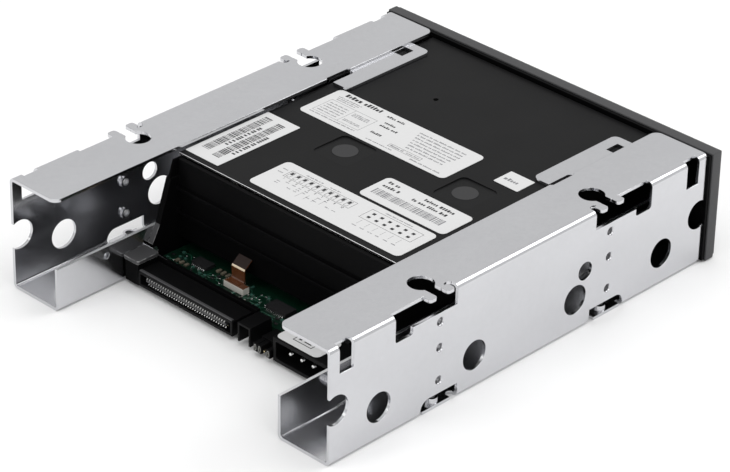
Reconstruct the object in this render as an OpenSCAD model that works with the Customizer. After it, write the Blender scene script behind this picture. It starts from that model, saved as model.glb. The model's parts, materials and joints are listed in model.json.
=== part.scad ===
// Half-height tape drive in a pair of side brackets for a wide drive bay.
// X runs across the drive, with +X to the right as seen from the front.
// The front face looks along -Y, the connectors along +Y, and Z is up.
// The origin is under the middle of the part, on the surface it stands on.

/* [Brackets] */
// Length of a side bracket, front end to rear end
bracket_len = 174.75; // [172:0.25:180]
// Height of a side bracket
bracket_h = 41.3; // [41:0.1:43]
// Width over the outer faces of the two brackets
overall_w = 146.06; // [145:0.1:148]
// Thickness of the bracket sheet
sheet_t = 1.2; // [1:0.1:1.4]
// Outside radius of the bracket bends
bend_r = 2; // [1.8:0.1:2.4]
// Height of the inner lip that carries the drive
lip_h = 16; // [15:0.5:18]
// Distance between the two columns of screw holes
column_gap = 79.25; // [76:0.25:82]
// Height of the lowest row of side holes
row_low = 10; // [9.5:0.1:10.5]
// Height of the middle row of side holes
row_mid = 21.84; // [21:0.1:23]
// Height of the top row of side holes
row_high = 31.2; // [30.5:0.1:31.5]
// Radius of a tapped screw hole
tap_r = 1.25; // [1.2:0.05:1.5]
// Radius of a large lightening hole
light_hole_r = 5.2; // [4.5:0.1:5.6]
// Radius of the small lightening hole
small_hole_r = 3.25; // [2.5:0.05:3.5]

/* [Drive] */
// Width of the drive between the brackets
drive_w = 101.6; // [101:0.1:102]
// Length of the drive without its front face
drive_len = 146; // [144:0.5:147]
// How far the drive's rear face lies ahead of the bracket ends
drive_inset = 28.5; // [27:0.5:30]
// Length of the top cover from the drive's front end
cover_len = 121; // [119:0.5:122]
// Thickness of the top cover
cover_t = 0.8; // [0.6:0.1:1]
// Gap between the top of the cover and the top of the brackets
cover_drop = 2.3; // [2.2:0.1:3]
// Thickness of the chassis side walls
wall_t = 2.4; // [2:0.1:2.6]
// Height of the deck's upper face above the ground
deck_top = 14; // [13.5:0.1:14.4]
// Height of the upper face of the main board
board_top = 5; // [4.6:0.1:5.2]

/* [Front] */
// Width of the front face
bezel_w = 148.6; // [147:0.2:149]
// Height of the front face
bezel_h = 40.6; // [39:0.1:41]
// How far the front face stands ahead of the brackets
bezel_ahead = 6.75; // [6.5:0.25:8]
// Depth of the side of the front face
bezel_t = 5.3; // [5:0.1:5.6]
// Width of the cartridge slot
slot_w = 76; // [75:0.5:78]
// Height of the cartridge slot
slot_h = 12.6; // [12:0.1:13]
// Travel of the eject button
button_travel = 0.8; // [0.5:0.1:1]

/* [Mechanism] */
// Width of the cartridge that the basket takes
cartridge_w = 73; // [72:0.5:73.5]
// Height of the cartridge
cartridge_h = 10.5; // [10:0.1:10.8]
// How far the basket drops when it loads
basket_drop = 6; // [5:0.1:6]
// Travel of the two cam plates
cam_travel = 8; // [6:0.5:8]
// Radius of the head drum
drum_r = 15; // [13:0.25:15.2]
// Tilt of the head drum
drum_tilt = 5; // [0:0.5:6]
// Distance between the two reels
reel_gap = 30; // [27:0.5:33]
// Radius of the rubber of the pinch roller
pinch_r = 3.5; // [3.2:0.05:3.6]
// Gear module of the loading gears
gear_module = 0.6; // [0.55:0.01:0.62]

/* [Rear] */
// Width of the interface connector
port_w = 44.5; // [42:0.5:46]
// Pitch of the power connector's pins
power_pitch = 5.08; // [4.8:0.02:5.2]
// Number of levers on the option switch
lever_count = 10; // [10:1:10]
// Travel of an option lever
lever_travel = 1.4; // [1:0.1:1.5]

/* [Hidden] */

// Overrun of a cut past the face it opens
over = 0.5;
// Clearance between a pin and the bore that it turns in, on the radius
running_gap = 0.05;
// Clearance between fixed pieces that lie against each other
seat_gap = 0.05;
// Clearance between pieces that slide past each other
slide_gap = 0.35;

// Main planes
y_rear = (bracket_len + bezel_ahead) / 2;
y_front = -y_rear;
y_bracket_mid = y_rear - bracket_len / 2;
y_drive_rear = y_rear - drive_inset;
y_drive_front = y_drive_rear - drive_len;
drive_half = drive_w / 2;
bracket_out = overall_w / 2;
flange_w = bracket_out - drive_half;
cover_top = bracket_h - cover_drop;
cover_bottom = cover_top - cover_t;
y_cover_rear = y_drive_front + cover_len;
wall_in = drive_half - wall_t;

// Bracket details, with distances along the length taken from the nearer end
light_hole_z = 12.2;
light_hole_end = 21.1;
light_hole_in = 15.95;
small_hole_z = 21.2;
small_hole_in = 11.65;
end_notch_r = 5.2;
end_notch_in = 2.7;
end_notch_z = 19.4;
window_from = 4;
window_len = 6;
window_drop = 9.6;
flange_cut = 2.6;
key_r = 4.35;
key_in = 8.8;
neck_half = 2.2;
finger_w = 3.5;
finger_r = 1.2;
finger_out = 0.6;
notch_outer = 19.9;
notch_inner = 7.4;
notch_drop = 6.8;
notch_deep_drop = 9.4;
notch_deep_len = 7.6;
notch_r = 0.9;
hook_r = 1.7;
hook_in = 2.2;
foot_outer = 8;
foot_inner = 8.5;
foot_cut_h = 5.3;
foot_cut_r = 3.6;
foot_tab_w = 12.6;
foot_tab_shift = 0.6;
foot_tab_edge = 0.4;
foot_relief_r = 1.4;
foot_hole_in = 3.18;
burr_wall = 0.9;
burr_len = 1.7;
side_burr_len = 1;
tap_sink = 0.45;
corner_r = 3;
tab_in = 8.6;
tab_from = 123.2;
tab_len = 40.8;
tab_r = 2.4;
tab_step_w = 1.6;
tab_top_drop = 1;
tab_slot_len = 9;
tab_slot_w = 2.4;
tab_slot_out = 0.8;
tab_hole_len = 5.8;
tab_hole_w = 4.3;
tab_hole_end = 3.8;
tab_hole_in = 2.1;
lip_screw_r = 1.5;
lip_screw_from = [40, 141.6];
lip_screw_z = 8;
lip_spare_from = 21;
lip_spare_z = 12.6;

// Screws
screw_head_r = 2.6;
screw_head_h = 1.6;
screw_recess_r = 1.1;
screw_recess_h = 0.9;

// Chassis, housing and boards
ledge_w = 2;
ledge_h = 1.6;
deck_t = 2;
rear_wall_t = 1.8;
rear_wall_gap = 0.4;
rear_wall_y = y_cover_rear + rear_wall_gap;
rear_wall_low = 9;
rib_t = 1.2;
rib_z_shares = [0.32, 0.62];
skirt_h = 6;
slope_low_z = 10.6;
slope_mid_z = 16.9;
slope_mid_back = 8.8;
slope_top_back = 1.6;
deck_screw_in = [1.4, 3];
ledge_pad = [6.4, 7];
span_gap = 1;
plate_t = 0.8;
plate_z = 0.3;
plate_margin = 0.5;
plate_rear_gap = 8.95;
vent_x_shares = [-0.6, -0.2, 0.6];
vent_from = 25.5;
vent_r = 1.5;
vent_len = 14;
cover_hole_x = 17.9;
cover_hole_from = 141.2;
cover_hole_r = 0.9;
board_t = 1.6;
board_front_gap = 3;
board_side_gap = 0.5;
board_rear_gap = 9.65;
board_hole_r = 1.6;
board_hole_in = [3.5, 4, 12];
housing_top = 8.4;
housing_depth = 10.8;
housing_over_board = 1.8;
part_back = 4.2;
part_size = [1.2, 2, 0.7];
part_pitch_share = 0.044;
// Each row as shares: first part across, place along, number of parts, size
part_row_shares = [[0.54, 1, 6, 1], [-0.24, 1.6, 5, 0.8], [0.83, 2.2, 3, 0.9]];
can_x = -14;
can_r = 1.3;
can_h = 2.2;
ear_w = 7.3;
ear_len = 9.6;
ear_top = 10.5;
ear_out = 0.45;
ear_cap_t = 1.3;
ear_neck = 1;
ear_round = 1;
port_x = 21.6;
port_z = 1.5;
port_h = 5.6;
port_len = 9;
port_wall = 1;
port_tongue_h = 1.5;
port_pin_count = 34;
port_pin_w = 0.6;
port_pin_len = 5.2;
port_pin_t = 0.22;
jumper_z = 1.3;
jumper_depth = board_rear_gap - seat_gap;
jumper_big = [5.8, 7];
jumper_big_x = -3.2;
jumper_low = [8, 4];
jumper_low_x = -11.1;
jumper_low_in = 3.2;
jumper_low_depth = jumper_depth - jumper_low_in;
jumper_first = [1.1, 2.4];
jumper_wall = 0.8;
jumper_pitch = 1.95;
jumper_pin_w = 0.5;
jumper_pin_len = 3.8;
shunt_w = 1.7;
shunt_h = 3;
shunt_len = 4;
shunt_gap = 0.1;
power_x = -33;
power_w = 27.4;
power_z = 1.2;
power_top = 10.1;
power_len = 14;
power_pin_tip = 1;
power_label = [18.6, 12];
power_label_in = [0.4, 0.6];
power_wall = 1.4;
power_cavity = 10.5;
power_pin_r = 1.05;
power_pin_len = 10.3;
power_pin_z = 5.4;
flex_x = 15.4;
flex_w = 6;
flex_shift = 1.2;
flex_socket_w = 9.2;
flex_socket_l = 2.8;
flex_socket_h = 2.4;
flex_back = 7.85;
flex_y = y_cover_rear + flex_back;
flex_rim = 0.8;
flex_t = 0.35;
flex_run = 2.1;
flex_rise = 4.3;
flex_bend = 0.7;
flex_slope = 38;
flex_steps = 5;
label_t = 0.12;
label_r = 2;
label_r_small = 0.4;

// Front
bezel_z = (bracket_h - bezel_h) / 2;
bezel_draft = 0.6;
bezel_edge = 1.2;
bezel_wall = 1.6;
bezel_face_t = 2;
frame_inset = 0.5;
frame_t = bezel_ahead - bezel_t - 2 * seat_gap;
slot_z = 22.6;
slot_x = 0;
slot_bevel = 1.4;
door_t = 1.2;
door_gap = 0.5;
hinge_pin_r = 0.75;
hinge_knuckle_r = 1.5;
hinge_knuckle_len = 6;
hinge_rise = 1.2;
hinge_in = 4.4;
door_in = 2.6;
hinge_z = slot_z + slot_h + hinge_rise;
hinge_y = y_front + hinge_in;
door_y = y_front + door_in;
knuckle_web = 2;
lug_w = 3;
button_x = 38;
button_z = 12;
button_w = 14;
button_h = 5.4;
button_gap = 0.3;
button_len = 5.2;
button_flange = 0.7;
button_in = 0.2;
button_room = 1;
lens_x = -38;
lens_gap = 9;
lens_z = 12;
lens_w = 5;
lens_h = 2;
lens_len = 6.2;
lens_in = 0.15;
lamp_w = 4;
front_board_h = 9;
front_board_w = 96;
front_board_t = 1.2;
front_board_in = 4.6;
front_board_y = y_drive_front + front_board_in;
tact_gap = 0.1;
tact_w = 6;
tact_h = 3.2;

// Mechanism
deck_side_gap = 0.6;
deck_front_gap = 7.5;
deck_rear_gap = 1.4;
deck_half = wall_in - deck_side_gap;
deck_front = y_drive_front + deck_front_gap;
deck_rear = rear_wall_y - deck_rear_gap;
deck_window = [50, 8, 2];
deck_window_from = 10;
hole_room = 1;
// Middle of the mechanism, from which its pieces take their places
mech_from = 83.75;
mech_y = y_drive_front + mech_from;
drum_at = [0, mech_y];
drum_low_h = 6.2;
drum_up_h = 7.4;
drum_gap = 0.35;
drum_base_r = 13.6;
drum_base_h = 2.1;
drum_shaft_r = 1.5;
drum_hub_r = 5;
drum_window = [1.2, 2.6, 1.6];
drum_step = 1.6;
drum_foot_lift = 0.2;
drum_bore_from = 0.4;
drum_shaft_from = 0.8;
drum_rim_w = 2.4;
drum_rim_h = 1;
boat_start_off = [14, -27];
boat_start = drum_at + boat_start_off;
boat_end_off = [22, 6];
boat_end = drum_at + boat_end_off;
boat_w = 7;
boat_l = 9;
boat_h = 2;
boat_round = 1;
boat_lift = 0.3;
keel_w = 2;
keel_h = 1.4;
keel_l = 5;
rail_gap = 0.3;
guide_post_r = 1;
guide_r = 2;
guide_h = 4.6;
guide_cap_r = 1.8;
guide_cap_h = 0.8;
boat_vec = boat_end - boat_start;
boat_travel = norm(boat_vec);
boat_turn = atan2(boat_vec[1], boat_vec[0]) - 90;
reel_ahead = 50;
reel_y = mech_y - reel_ahead;
reel_disc_r = 8;
reel_disc_h = 1.3;
reel_hub_r = 3.9;
reel_hub_h = 4.2;
reel_teeth = 3;
reel_tooth_w = 1.2;
reel_tooth_out = 0.8;
reel_tooth_drop = 0.8;
reel_post_h = 6.6;
reel_post_r = 1;
capstan_at_off = [-28, 18];
capstan_at = drum_at + capstan_at_off;
capstan_r = 1.25;
flywheel_r = 6;
flywheel_h = 2;
capstan_base_r = 6.4;
capstan_base_h = 1;
capstan_rise = 14;
capstan_bush = 1;
capstan_foot = 0.3;
pinch_at_off = [-35, 29];
pinch_at = drum_at + pinch_at_off;
pinch_len = 11.5;
pinch_rest = -90.9;
pinch_post_r = 1;
pinch_axle_r = 0.8;
pinch_arm_t = 1.6;
pinch_arm_w = 3;
arm_end_r = 1.9;
pinch_lift = 3.7;
pinch_arm_z = deck_top + pinch_lift;
pinch_post_h = 5.8;
pinch_h = 7;
pinch_hub_r = 2.6;
tension_at_off = [33, 14];
tension_at = drum_at + tension_at_off;
tension_end_off = [28.5, 8];
tension_end = drum_at + tension_end_off;
tension_post_r = 1;
tension_arm_w = 3;
tension_arm_t = 1.6;
tension_hub_r = 2.4;
tension_post_h = 3.4;
tension_extra = 2;
gear_teeth = 16;
pinion_teeth = 10;
rack_teeth = 8;
gear_face = 2;
sync_behind = 24;
sync_y = mech_y + sync_behind;
sync_r = 1.2;
gear_room = [0.6, 4, 1.2];
pitch_r = gear_module * gear_teeth / 2;
pinion_r = gear_module * pinion_teeth / 2;
gear_pitch = PI * gear_module;
rack_rise = 2.4;
rack_pitch_z = deck_top + rack_rise - gear_module * 0.8;
sync_z = rack_pitch_z + pitch_r;
mesh_turn = 180 / gear_teeth;
pinion_y = sync_y + (pitch_r + pinion_r) * cos(mesh_turn);
pinion_z = sync_z + (pitch_r + pinion_r) * sin(mesh_turn);
cam_x = 41.1;
cam_t = 1;
cam_front_ahead = 76;
cam_front = mech_y - cam_front_ahead;
cam_back_ahead = 21;
cam_back = mech_y - cam_back_ahead;
cam_low_rise = 3.5;
cam_high_rise = 17.6;
cam_low = deck_top + cam_low_rise;
cam_high = deck_top + cam_high_rise;
cam_leg = 5;
cam_cut = [12, 4];
cam_cut_from = 8;
rack_root_z = rack_pitch_z - gear_module;
rack_gap = 0.2;
rack_low = deck_top + rack_gap;
rack_past = 4;
rack_rear = sync_y + rack_past;
basket_pins_ahead = [64, 32];
basket_pins_y = [for (ahead = basket_pins_ahead) mech_y - ahead];
basket_pin_rise = 14;
basket_pin_z = deck_top + basket_pin_rise;
basket_pin_r = 1.2;
cam_slot_gap = 0.25;
cam_slot_r = basket_pin_r + cam_slot_gap;
basket_pin_gap = 0.2;
basket_window = [44, 26, 3];
basket_window_in = 2;
basket_front_ahead = 72;
basket_front = mech_y - basket_front_ahead;
basket_back_ahead = 22;
basket_back = mech_y - basket_back_ahead;
basket_t = 0.8;
basket_lip = 4;
basket_side_gap = 0.5;
basket_rise = 8;
basket_low = deck_top + basket_rise;
basket_inner_h = cartridge_h + 2 * slide_gap;
basket_top = basket_low + basket_inner_h + 2 * basket_t;
loading_x = 43.5;
loading_t = 1;
loading_front_ahead = 70;
loading_front = mech_y - loading_front_ahead;
loading_rear_ahead = 26;
loading_rear = mech_y - loading_rear_ahead;
loading_tie_w = 6;
loading_tie_t = 1;
loading_foot_w = 3;
loading_foot_in = 5;
loading_top = basket_top + slide_gap + loading_tie_t;
motor_r = 5.2;
motor_len = 20;
motor_x = 15;
motor_shaft_r = 0.75;
motor_boss_r = 2;
motor_boss_h = 1.2;
motor_flat = 8.4;
bearing_t = 1.4;
bearing_w = 4;
bearing_x = 38.9;
bearing_wall = 1;
switch_x = 14;
switch_ahead = 30;
switch_y = mech_y - switch_ahead;
switch_w = 26;
switch_l = 8;
switch_h = 3;
lever_pitch = 2.54;
lever_w = 1;
lever_l = 1.2;
lever_groove = 0.2;
lever_proud = 0.1;
lever_h_share = 0.5;

// Finish
fine = 48;
smooth = 96;
zinc = [0.78, 0.79, 0.81];
black = [0.07, 0.07, 0.075];
charcoal = [0.22, 0.22, 0.23];
steel = [0.7, 0.71, 0.73];
paper = [0.9, 0.9, 0.9];

// Shapes that repeat

// A round bar along X, centred on the place it is given
module bar_x(r, len) {
  rotate([0, 90, 0])
    cylinder(r = r, h = len, center = true, $fn = fine);
}

// A round bar along Y, centred on the place it is given
module bar_y(r, len) {
  rotate([90, 0, 0])
    cylinder(r = r, h = len, center = true, $fn = fine);
}

// A box centred in X and Y that stands on the place it is given
module block(size) {
  translate([-size[0] / 2, -size[1] / 2, 0])
    cube(size);
}

// A flat plate with round corners, centred in X and Y
module round_plate(w, l, t, r) {
  linear_extrude(t)
    round_rect(w, l, r);
}

module round_rect(w, l, r) {
  square([w - 2 * r, l], center = true);
  square([w, l - 2 * r], center = true);
  for (x = [-1, 1], y = [-1, 1])
    translate([x * (w / 2 - r), y * (l / 2 - r)])
      circle(r = r, $fn = fine);
}

// A slot along Y with round ends
module long_slot(r, len, h) {
  block([2 * r, len, h]);
  for (side = [-1, 1])
    translate([0, side * len / 2, 0])
      cylinder(r = r, h = h, $fn = fine);
}

// A spur gear outline with straight-sided stub teeth
module gear_outline(teeth, pitch_radius) {
  root_r = pitch_radius - gear_module;
  tip_r = pitch_radius + gear_module * 0.75;
  root_half = gear_module * 1.02;
  tip_half = gear_module * 0.36;
  circle(r = root_r, $fn = teeth * 2);
  for (i = [0 : teeth - 1])
    rotate(i * 360 / teeth)
      polygon([
        [root_r * 0.9, -root_half],
        [root_r, -root_half],
        [tip_r, -tip_half],
        [tip_r, tip_half],
        [root_r, root_half],
        [root_r * 0.9, root_half]]);
}

// The four corners of one rack tooth, from its rear foot to its front foot
function rack_tooth(at, foot) = [
  [at + gear_module * 0.9, foot],
  [at + gear_module * 0.3, foot + gear_module * 1.5],
  [at - gear_module * 0.3, foot + gear_module * 1.5],
  [at - gear_module * 0.9, foot]];

// A pan-head screw that points along -Z from the place under its head
module pan_screw(len) {
  difference() {
    union() {
      cylinder(r = screw_head_r, h = screw_head_h * 0.55, $fn = fine);
      translate([0, 0, screw_head_h * 0.55])
        cylinder(r1 = screw_head_r, r2 = screw_head_r * 0.72, h = screw_head_h * 0.45, $fn = fine);
    }
    for (turn = [0, 90])
      rotate(turn)
        translate([0, 0, screw_head_h - screw_recess_h])
          block([2 * screw_recess_r * 1.3, screw_recess_r * 0.5, screw_recess_h + over]);
  }
  translate([0, 0, -len])
    cylinder(r = lip_screw_r, h = len + seat_gap, $fn = fine);
}

// Side brackets

// Quarter of a bend in the bracket's cross-section
module bend(x, z, turn) {
  translate([x, z])
    rotate(turn)
      intersection() {
        difference() {
          circle(r = bend_r, $fn = fine);
          circle(r = bend_r - sheet_t, $fn = fine);
        }
        square(bend_r);
      }
}

// Cross-section of a bracket, X to the right and Z up
module bracket_section() {
  translate([bracket_out - sheet_t, bend_r])
    square([sheet_t, bracket_h - 2 * bend_r]);
  translate([drive_half, bracket_h - sheet_t])
    square([flange_w - bend_r, sheet_t]);
  translate([drive_half + bend_r, 0])
    square([flange_w - 2 * bend_r, sheet_t]);
  translate([drive_half, bend_r])
    square([sheet_t, lip_h - bend_r]);
  bend(bracket_out - bend_r, bracket_h - bend_r, 0);
  bend(drive_half + bend_r, bend_r, 180);
  bend(bracket_out - bend_r, bend_r, 270);
}

// Cuts through the web at one end of a bracket, drawn for the rear end
module web_end_cuts() {
  translate([bracket_out, y_rear - end_notch_in, end_notch_z])
    bar_x(end_notch_r, 4 * sheet_t);
  translate([bracket_out, y_rear, end_notch_z])
    cube([4 * sheet_t, 2 * end_notch_in, 2 * end_notch_r * 0.8], center = true);
  for (y = [y_rear - light_hole_end, y_bracket_mid + column_gap / 2 - light_hole_in])
    translate([bracket_out, y, light_hole_z])
      bar_x(light_hole_r, 4 * sheet_t);
  translate([bracket_out - flange_cut, y_rear - window_from - window_len, bracket_h - window_drop])
    cube([flange_cut + over, window_len, window_drop + over]);
}

// The keyhole notch over one column of screws, drawn for the rear column
module key_notch() {
  // Part of the notch in the web
  translate([bracket_out - flange_cut, -notch_inner, bracket_h - notch_drop])
    cube([flange_cut + over, notch_inner + notch_outer, notch_drop + over]);
  translate([bracket_out - flange_cut, notch_outer - notch_deep_len / 2, bracket_h])
    rotate([90, 0, 90])
      round_plate(notch_deep_len, 2 * notch_deep_drop, flange_cut + over, notch_r);
  // Part of the notch in the flange
  translate([bracket_out - key_in, 0, bracket_h - 2 * sheet_t])
    cylinder(r = key_r, h = 3 * sheet_t, $fn = fine);
  translate([bracket_out - key_in, -neck_half, bracket_h - 2 * sheet_t])
    cube([key_in + over, 2 * neck_half, 3 * sheet_t]);
  translate([bracket_out - hook_in, -notch_inner + hook_r, bracket_h - 2 * sheet_t])
    cylinder(r = hook_r, h = 3 * sheet_t, $fn = fine);
}

// The two flat fingers that stand beside the notch's neck
module key_fingers() {
  for (side = [-1, 1])
    translate([bracket_out + (finger_out - flange_cut - over) / 2, side * (neck_half + finger_w / 2),
               bracket_h - sheet_t])
      round_plate(flange_cut + over + finger_out, finger_w, sheet_t, finger_r);
}

// The cut in the bottom edge of the web under one column
module foot_cut() {
  translate([bracket_out - bend_r - over, 0, -over])
    rotate([90, 0, 90])
      linear_extrude(bend_r + 2 * over)
        difference() {
          translate([-foot_inner, 0])
            square([foot_inner + foot_outer, foot_cut_h + over]);
          translate([foot_outer - foot_cut_r, foot_cut_h + over - foot_cut_r])
            difference() {
              square(foot_cut_r + over);
              circle(r = foot_cut_r, $fn = fine);
            }
        }
}

// The flat tab at a bottom screw place, with its raised screw hole
module foot_tab() {
  tab_w = bend_r + over;
  translate([bracket_out - foot_tab_edge - tab_w / 2, foot_tab_shift, 0])
    block([tab_w, foot_tab_w, sheet_t]);
  translate([bracket_out - foot_hole_in, 0, 0])
    cylinder(r = tap_r + burr_wall, h = sheet_t + burr_len, $fn = fine);
}

// The joggled tab at the front, which lies on the drive's cover
module cover_tab() {
  y_mid = y_rear - tab_from - tab_len / 2 - seat_gap;
  top = bracket_h - tab_top_drop;
  reach = tab_in + tab_step_w;
  difference() {
    union() {
      translate([drive_half - tab_in + reach / 2, y_mid, top - sheet_t])
        round_plate(reach, tab_len, sheet_t, tab_r);
      translate([drive_half + tab_step_w / 2, y_mid, top - sheet_t])
        block([tab_step_w, tab_len - 2 * tab_r, sheet_t + tab_top_drop]);
    }
    tab_hole();
  }
}

// The slot that frees the tab's rear end from the flange
module tab_slot() {
  half = tab_slot_w / 2;
  translate([drive_half + tab_slot_out - half, y_rear - tab_from - tab_slot_len / 2,
             bracket_h - tab_top_drop - 2 * sheet_t])
    round_plate(tab_slot_w, tab_slot_len + 2 * half, 4 * sheet_t, half * 0.9);
}

module tab_hole() {
  translate([drive_half - tab_hole_in,
             y_rear - tab_from - tab_len + tab_hole_end + tab_hole_len / 2,
             bracket_h - tab_top_drop - 2 * sheet_t])
    block([tab_hole_w, tab_hole_len, 4 * sheet_t]);
}

// A burr round a tapped hole in the web, on the inner side
module web_burr() {
  translate([bracket_out - sheet_t - side_burr_len / 2, 0, 0])
    bar_x(tap_r + burr_wall, side_burr_len + 2 * seat_gap);
}

// Right-hand bracket; small_at is the end that its small hole is nearer to
module bracket(small_at) {
  lip_x = drive_half + sheet_t / 2;
  difference() {
    union() {
      difference() {
        translate([0, y_rear, 0])
          rotate([90, 0, 0])
            linear_extrude(bracket_len)
              bracket_section();
        for (end = [0, 1])
          translate([0, y_bracket_mid, 0])
            mirror([0, end, 0])
              translate([0, -y_bracket_mid, 0])
                bracket_end_cuts();
        translate([bracket_out, y_bracket_mid + small_at * (column_gap / 2 - small_hole_in),
                   small_hole_z])
          bar_x(small_hole_r, 4 * sheet_t);
        rounded_flange_corners();
      }
      for (end = [-1, 1])
        translate([0, y_bracket_mid + end * column_gap / 2, 0])
          mirror([0, (1 - end) / 2, 0])
            column_metal();
      cover_tab();
      translate([lip_x + sheet_t / 2 + burr_len / 2, y_rear - lip_spare_from, lip_spare_z])
        bar_x(tap_r + burr_wall, burr_len + sheet_t);
    }
    for (end = [-1, 1])
      translate([0, y_bracket_mid + end * column_gap / 2, 0]) {
        for (z = [row_low, row_mid, row_high])
          translate([bracket_out, 0, z]) {
            bar_x(tap_r, 6 * side_burr_len);
            translate([-tap_sink, 0, 0])
              rotate([0, 90, 0])
                cylinder(r1 = tap_r, r2 = tap_r + 2 * tap_sink, h = 2 * tap_sink, $fn = fine);
          }
        translate([bracket_out - foot_hole_in, 0, -over])
          cylinder(r = tap_r, h = sheet_t + burr_len + 2 * over, $fn = fine);
      }
    tab_slot();
    for (s = lip_screw_from)
      translate([lip_x, y_rear - s, lip_screw_z])
        bar_x(lip_screw_r + running_gap, 4 * sheet_t);
    translate([lip_x, y_rear - lip_spare_from, lip_spare_z])
      bar_x(tap_r, 8 * sheet_t);
  }
}

module bracket_end_cuts() {
  web_end_cuts();
  translate([0, y_bracket_mid + column_gap / 2, 0]) {
    key_notch();
    foot_cut();
    translate([bracket_out - foot_hole_in + foot_relief_r,
               foot_tab_shift - foot_tab_w / 2 - foot_relief_r, -over])
      cylinder(r = foot_relief_r, h = sheet_t + 2 * over, $fn = fine);
  }
}

module column_metal() {
  key_fingers();
  foot_tab();
  for (z = [row_low, row_mid, row_high])
    translate([0, 0, z])
      web_burr();
}

// Takes the sharp inner corners off the top flange's two ends
module rounded_flange_corners() {
  for (end = [-1, 1])
    translate([drive_half + corner_r, y_bracket_mid + end * (bracket_len / 2 - corner_r),
               bracket_h - 2 * sheet_t])
      difference() {
        translate([-corner_r - over, (end < 0) ? -corner_r - over : 0, 0])
          cube([corner_r + over, corner_r + over, 3 * sheet_t]);
        translate([0, 0, -over])
          cylinder(r = corner_r, h = 4 * sheet_t, $fn = fine);
      }
}

module left_bracket() {
  color(zinc)
    mirror([1, 0, 0])
      bracket(-1);
}

module right_bracket() {
  color(zinc)
    bracket(1);
}

// Two screws a side hold the brackets to the chassis, and four hold the deck
module screws() {
  color(steel) {
    for (side = [-1, 1], s = lip_screw_from)
      translate([side * (drive_half + sheet_t + seat_gap), y_rear - s, lip_screw_z])
        rotate([0, side * 90, 0])
          pan_screw(sheet_t + wall_t);
    for (at = deck_screw_places())
      translate([at[0], at[1], deck_top + seat_gap])
        pan_screw(deck_t + ledge_h * 0.6);
  }
}

function deck_screw_places() = [
  for (x = [-1, 1], y = [deck_front + deck_screw_in[1], deck_rear - deck_screw_in[1]])
    [x * (wall_in - ledge_w - deck_screw_in[0]), y]];

// Casing

// The black frame that everything inside is built on
module chassis() {
  low = plate_z + plate_t + seat_gap;
  color(black)
    difference() {
      union() {
        for (side = [-1, 1])
          translate([side * (drive_half - wall_t / 2), 0, 0])
            chassis_wall(low);
        // Rear wall of the mechanism bay, with its two stiffening ribs
        translate([-wall_in - over, rear_wall_y, rear_wall_low])
          cube([2 * wall_in + 2 * over, rear_wall_t, cover_bottom - rear_wall_low - seat_gap]);
        for (share = rib_z_shares)
          translate([-wall_in - over, rear_wall_y + rear_wall_t - over,
                     rear_wall_low + share * (cover_bottom - rear_wall_low)])
            cube([2 * wall_in + 2 * over, rib_t + over, rib_t]);
        // Ledges and corner blocks under the deck
        for (side = [-1, 1])
          translate([side * (wall_in - ledge_w / 2), (deck_front + deck_rear) / 2,
                     deck_top - deck_t - ledge_h - seat_gap])
            block([ledge_w + over, deck_rear - deck_front, ledge_h]);
        for (at = deck_screw_places())
          translate([at[0] + sign(at[0]) * deck_screw_in[0], at[1], deck_top - deck_t - ledge_h - seat_gap])
            block([ledge_pad[0], ledge_pad[1], ledge_h]);
      }
      for (side = [-1, 1], s = lip_screw_from)
        translate([side * (drive_half - wall_t / 2), y_rear - s, lip_screw_z])
          bar_x(lip_screw_r + running_gap, 3 * wall_t);
      for (at = deck_screw_places())
        translate([at[0], at[1], deck_top - deck_t - 2 * ledge_h])
          cylinder(r = lip_screw_r + running_gap, h = 3 * ledge_h, $fn = fine);
    }
}

// One side wall; its rear edge slopes from the cover down to the low rear corner
module chassis_wall(low) {
  top = cover_bottom - seat_gap;
  wall_back = rear_wall_y + rear_wall_t;
  rear = y_drive_rear - ear_len - span_gap;
  difference() {
    rotate([90, 0, 90])
      linear_extrude(wall_t, center = true)
        polygon([
          [y_drive_front + seat_gap, low],
          [rear, low],
          [rear, slope_low_z],
          [wall_back + slope_mid_back, slope_mid_z],
          [wall_back + slope_top_back, top],
          [y_drive_front + seat_gap, top]]);
    // Rebate for the skirt of the cover
    for (side = [-1, 1])
      translate([side * wall_t / 2 - cover_t - seat_gap, y_drive_front - over, top - skirt_h - seat_gap])
        cube([2 * cover_t + 2 * seat_gap, drive_len + 2 * over, skirt_h + over + seat_gap]);
  }
}

// Folded top cover with a skirt down each side
module top_cover() {
  color(black)
    difference() {
      translate([-drive_half + seat_gap, y_drive_front + seat_gap, cover_bottom - skirt_h])
        cube([drive_w - 2 * seat_gap, cover_len - seat_gap, skirt_h + cover_t]);
      translate([-drive_half + seat_gap + cover_t, y_drive_front - over, cover_bottom - skirt_h - over])
        cube([drive_w - 2 * seat_gap - 2 * cover_t, cover_len + 2 * over, skirt_h + over]);
      translate([cover_hole_x, y_rear - cover_hole_from, cover_bottom - over])
        cylinder(r = cover_hole_r, h = cover_t + 2 * over, $fn = fine);
    }
}

// Blank stickers: four on the cover, one small one, one on the power connector
module labels() {
  color(paper) {
    for (l = cover_label_shares())
      translate([l[0] * drive_half, y_cover_rear - l[1] * cover_len, cover_top + seat_gap])
        round_plate(l[2] * drive_w, l[3] * cover_len, label_t, l[4]);
    translate([power_x + power_w / 2 - power_label[0] / 2 - power_label_in[0],
               y_drive_rear - power_label[1] / 2 - power_label_in[1], power_top + seat_gap])
      round_plate(power_label[0], power_label[1], label_t, label_r);
  }
}

// Each label as shares: middle across, middle along from the cover's rear edge, width, length;
// then its corner radius
function cover_label_shares() = [
  [0.8406, 0.1769, 0.1516, 0.3124, label_r_small],
  [0.2303, 0.4905, 0.6575, 0.1711, label_r],
  [-0.2441, 0.1, 0.6634, 0.1537, label_r],
  [-0.5453, 0.2496, 0.372, 0.1223, label_r],
  [-0.7657, 0.5339, 0.1024, 0.0727, label_r_small]];

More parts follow.
